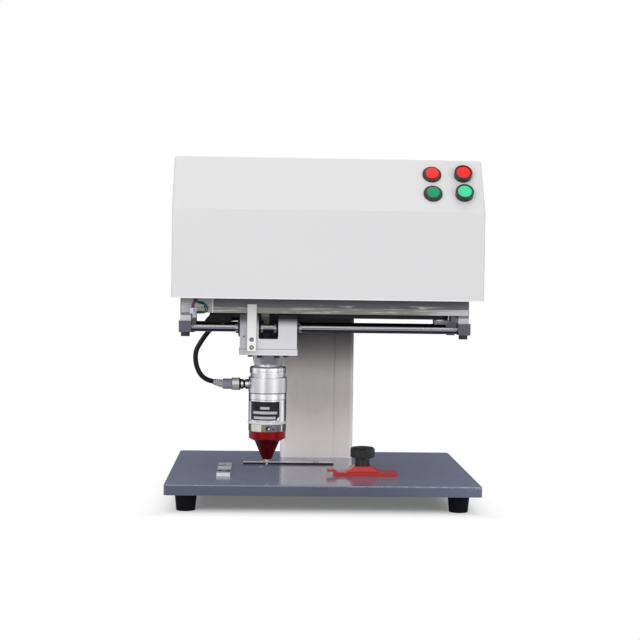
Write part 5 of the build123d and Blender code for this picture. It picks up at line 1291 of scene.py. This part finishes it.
def seen_rays(finish):
    """1 for the rays that show the background: straight ones, and those through gloss and glass."""
    rays = finish.node("ShaderNodeLightPath")
    kinds = ("Is Camera Ray", "Is Glossy Ray", "Is Transmission Ray")
    straight, glossy, clear = (Signal(finish, rays.outputs[kind]) for kind in kinds)
    return straight.most(glossy).most(clear)


def lay_floor(studio):
    """The floor: white where it is seen away from the machine, and grey below it, where its colour is painted
    darker as a painted shadow on top of the real one.
    """
    ground = Finish("stage_floor", roughness=0.9, specular_ior_level=0.1)
    x, y = ground.place("XY")
    outside = (abs(x) - 218).most(abs(y - 31) - 182)
    # Painted shadow: the floor's colour is darker under and around the machine.
    ground.set(base_color=ground.mix(outside.rise(-60, 10), tone(176, 176, 174), studio.floor))
    shown = seen_rays(ground) * (0.15 + 0.85 * outside.rise(-48, 48))
    white = ground.node("ShaderNodeEmission", inputs={"Color": (1, 1, 1, 1), "Strength": 1.0}).outputs[0]
    mixed = ground.node("ShaderNodeMixShader", inputs={0: shown, 1: ground.shader.outputs[0], 2: white})
    ground.feed(ground.output.inputs["Surface"], mixed.outputs[0])
    reach = 14.0
    flat_sheet("studio_floor", (-reach, -reach, 0), (reach, reach, 0), ground.material)


def stand_cards(studio):
    """Grey cards behind and in front of the machine, which only reflections see."""
    card = Finish("grey_card", roughness=1.0, specular_ior_level=0.0, base_color=(0, 0, 0))
    (height,) = card.place("Z")
    shade = card.mix(height.rise(100, 140), studio.card, studio.upper_card)
    card.set(emission_strength=1.0, emission_color=shade)
    for name, low, high in (
        ("rear_card", (-3.0, 0.9, 0.0), (3.0, 0.9, 1.3)),
        ("floor_card", (-1.6, -0.9, 0.002), (1.6, -0.22, 0.002)),
    ):
        sheet = flat_sheet(name, low, high, card.material)
        sheet.visible_camera = False
        sheet.visible_diffuse = False
        sheet.visible_shadow = False
        sheet.visible_transmission = False


class Surround(Finish):
    """The world's own nodes: white where it is seen, softer where it only lights."""

    def __init__(self, world, ambience):
        self.tree = world.node_tree
        self.tree.nodes.clear()
        strength = ambience + (1 - ambience) * seen_rays(self)
        back = self.node("ShaderNodeBackground", inputs={"Color": (1, 1, 1, 1), "Strength": strength})
        self.node("ShaderNodeOutputWorld", inputs={"Surface": back.outputs[0]})


def aim_camera(studio):
    """The camera, placed and turned as the fit to the photograph gave it."""
    camera = bpy.data.cameras.new("camera")
    camera.sensor_width = 36
    camera.lens = studio.focal_length
    camera.clip_end = 100
    swing = Matrix.Identity(3)
    for axis, degrees in CAMERA_TURNS.items():
        swing = swing @ Matrix.Rotation(math.radians(degrees), 3, axis)
    right, ahead, up = (swing @ Vector(axis) for axis in ((1, 0, 0), (0, 1, 0), (0, 0, 1)))
    turned = Matrix((right, up, -ahead)).transposed().to_4x4()
    viewer = scene_object("camera", camera)
    viewer.matrix_world = Matrix.Translation(CAMERA_PLACE) @ turned
    return viewer


class MARKER_OT_stage(bpy.types.Operator):
    """Set up the floor, the soft studio light and the camera"""

    bl_idname = "marker.stage"
    bl_label = "Stage"

    def execute(self, context):
        *_, studio = settings()
        lay_floor(studio)
        stand_cards(studio)

        world = bpy.data.worlds.new("soft_surround")
        world.use_nodes = True
        Surround(world, studio.ambience)
        middle = (0, 0, 0.25)
        area_lamp("key_lamp", (-1.5, -2.6, 1.2), middle, 1.8, studio.key_power)
        area_lamp("fill_lamp", (1.9, -2.2, 0.9), middle, 1.8, studio.fill_power)
        area_lamp("top_lamp", (0.1, 0.1, 2.6), (0, 0, 0), 2.2, studio.top_power)

        scene = context.scene
        scene.world = world
        scene.camera = aim_camera(studio)
        scene.view_settings.view_transform = "Standard"
        return {"FINISHED"}


# ---------------------------------------------------------------- add-on


class MARKER_PT_looks(bpy.types.Panel):
    """Steps that dress the marking machine, in order"""

    bl_label = "Marking machine"
    bl_idname = "MARKER_PT_looks"
    bl_space_type = "VIEW_3D"
    bl_region_type = "UI"
    bl_category = "Marker"

    def draw(self, context):
        column = self.layout.column()
        for step in STEPS:
            column.operator(step.bl_idname)
        for group in settings():
            for name in group.__annotations__:
                column.prop(group, name)


STEPS = (
    MARKER_OT_head_cable,
    MARKER_OT_switch_wires,
    MARKER_OT_base,
    MARKER_OT_column,
    MARKER_OT_cover,
    MARKER_OT_buttons,
    MARKER_OT_bridge,
    MARKER_OT_drives,
    MARKER_OT_home_switch,
    MARKER_OT_carriage,
    MARKER_OT_head,
    MARKER_OT_fixture,
    MARKER_OT_stage,
)
GROUPS = {
    "marker_paints": MarkerPaints,
    "marker_metals": MarkerMetals,
    "marker_cords": MarkerCords,
    "marker_studio": MarkerStudio,
}


def register():
    """Adds the groups, operators and panel to Blender."""
    for name, group in GROUPS.items():
        bpy.utils.register_class(group)
        setattr(bpy.types.Scene, name, bpy.props.PointerProperty(type=group))
    for item in (*STEPS, MARKER_PT_looks):
        bpy.utils.register_class(item)


def unregister():
    """Takes them out again."""
    for item in (MARKER_PT_looks, *reversed(STEPS)):
        bpy.utils.unregister_class(item)
    for name, group in reversed(GROUPS.items()):
        delattr(bpy.types.Scene, name)
        bpy.utils.unregister_class(group)


def main():
    """Dresses the machine step by step."""
    register()
    for step in STEPS:
        family, name = step.bl_idname.split(".")
        getattr(getattr(bpy.ops, family), name)()


if __name__ == "__main__":
    main()
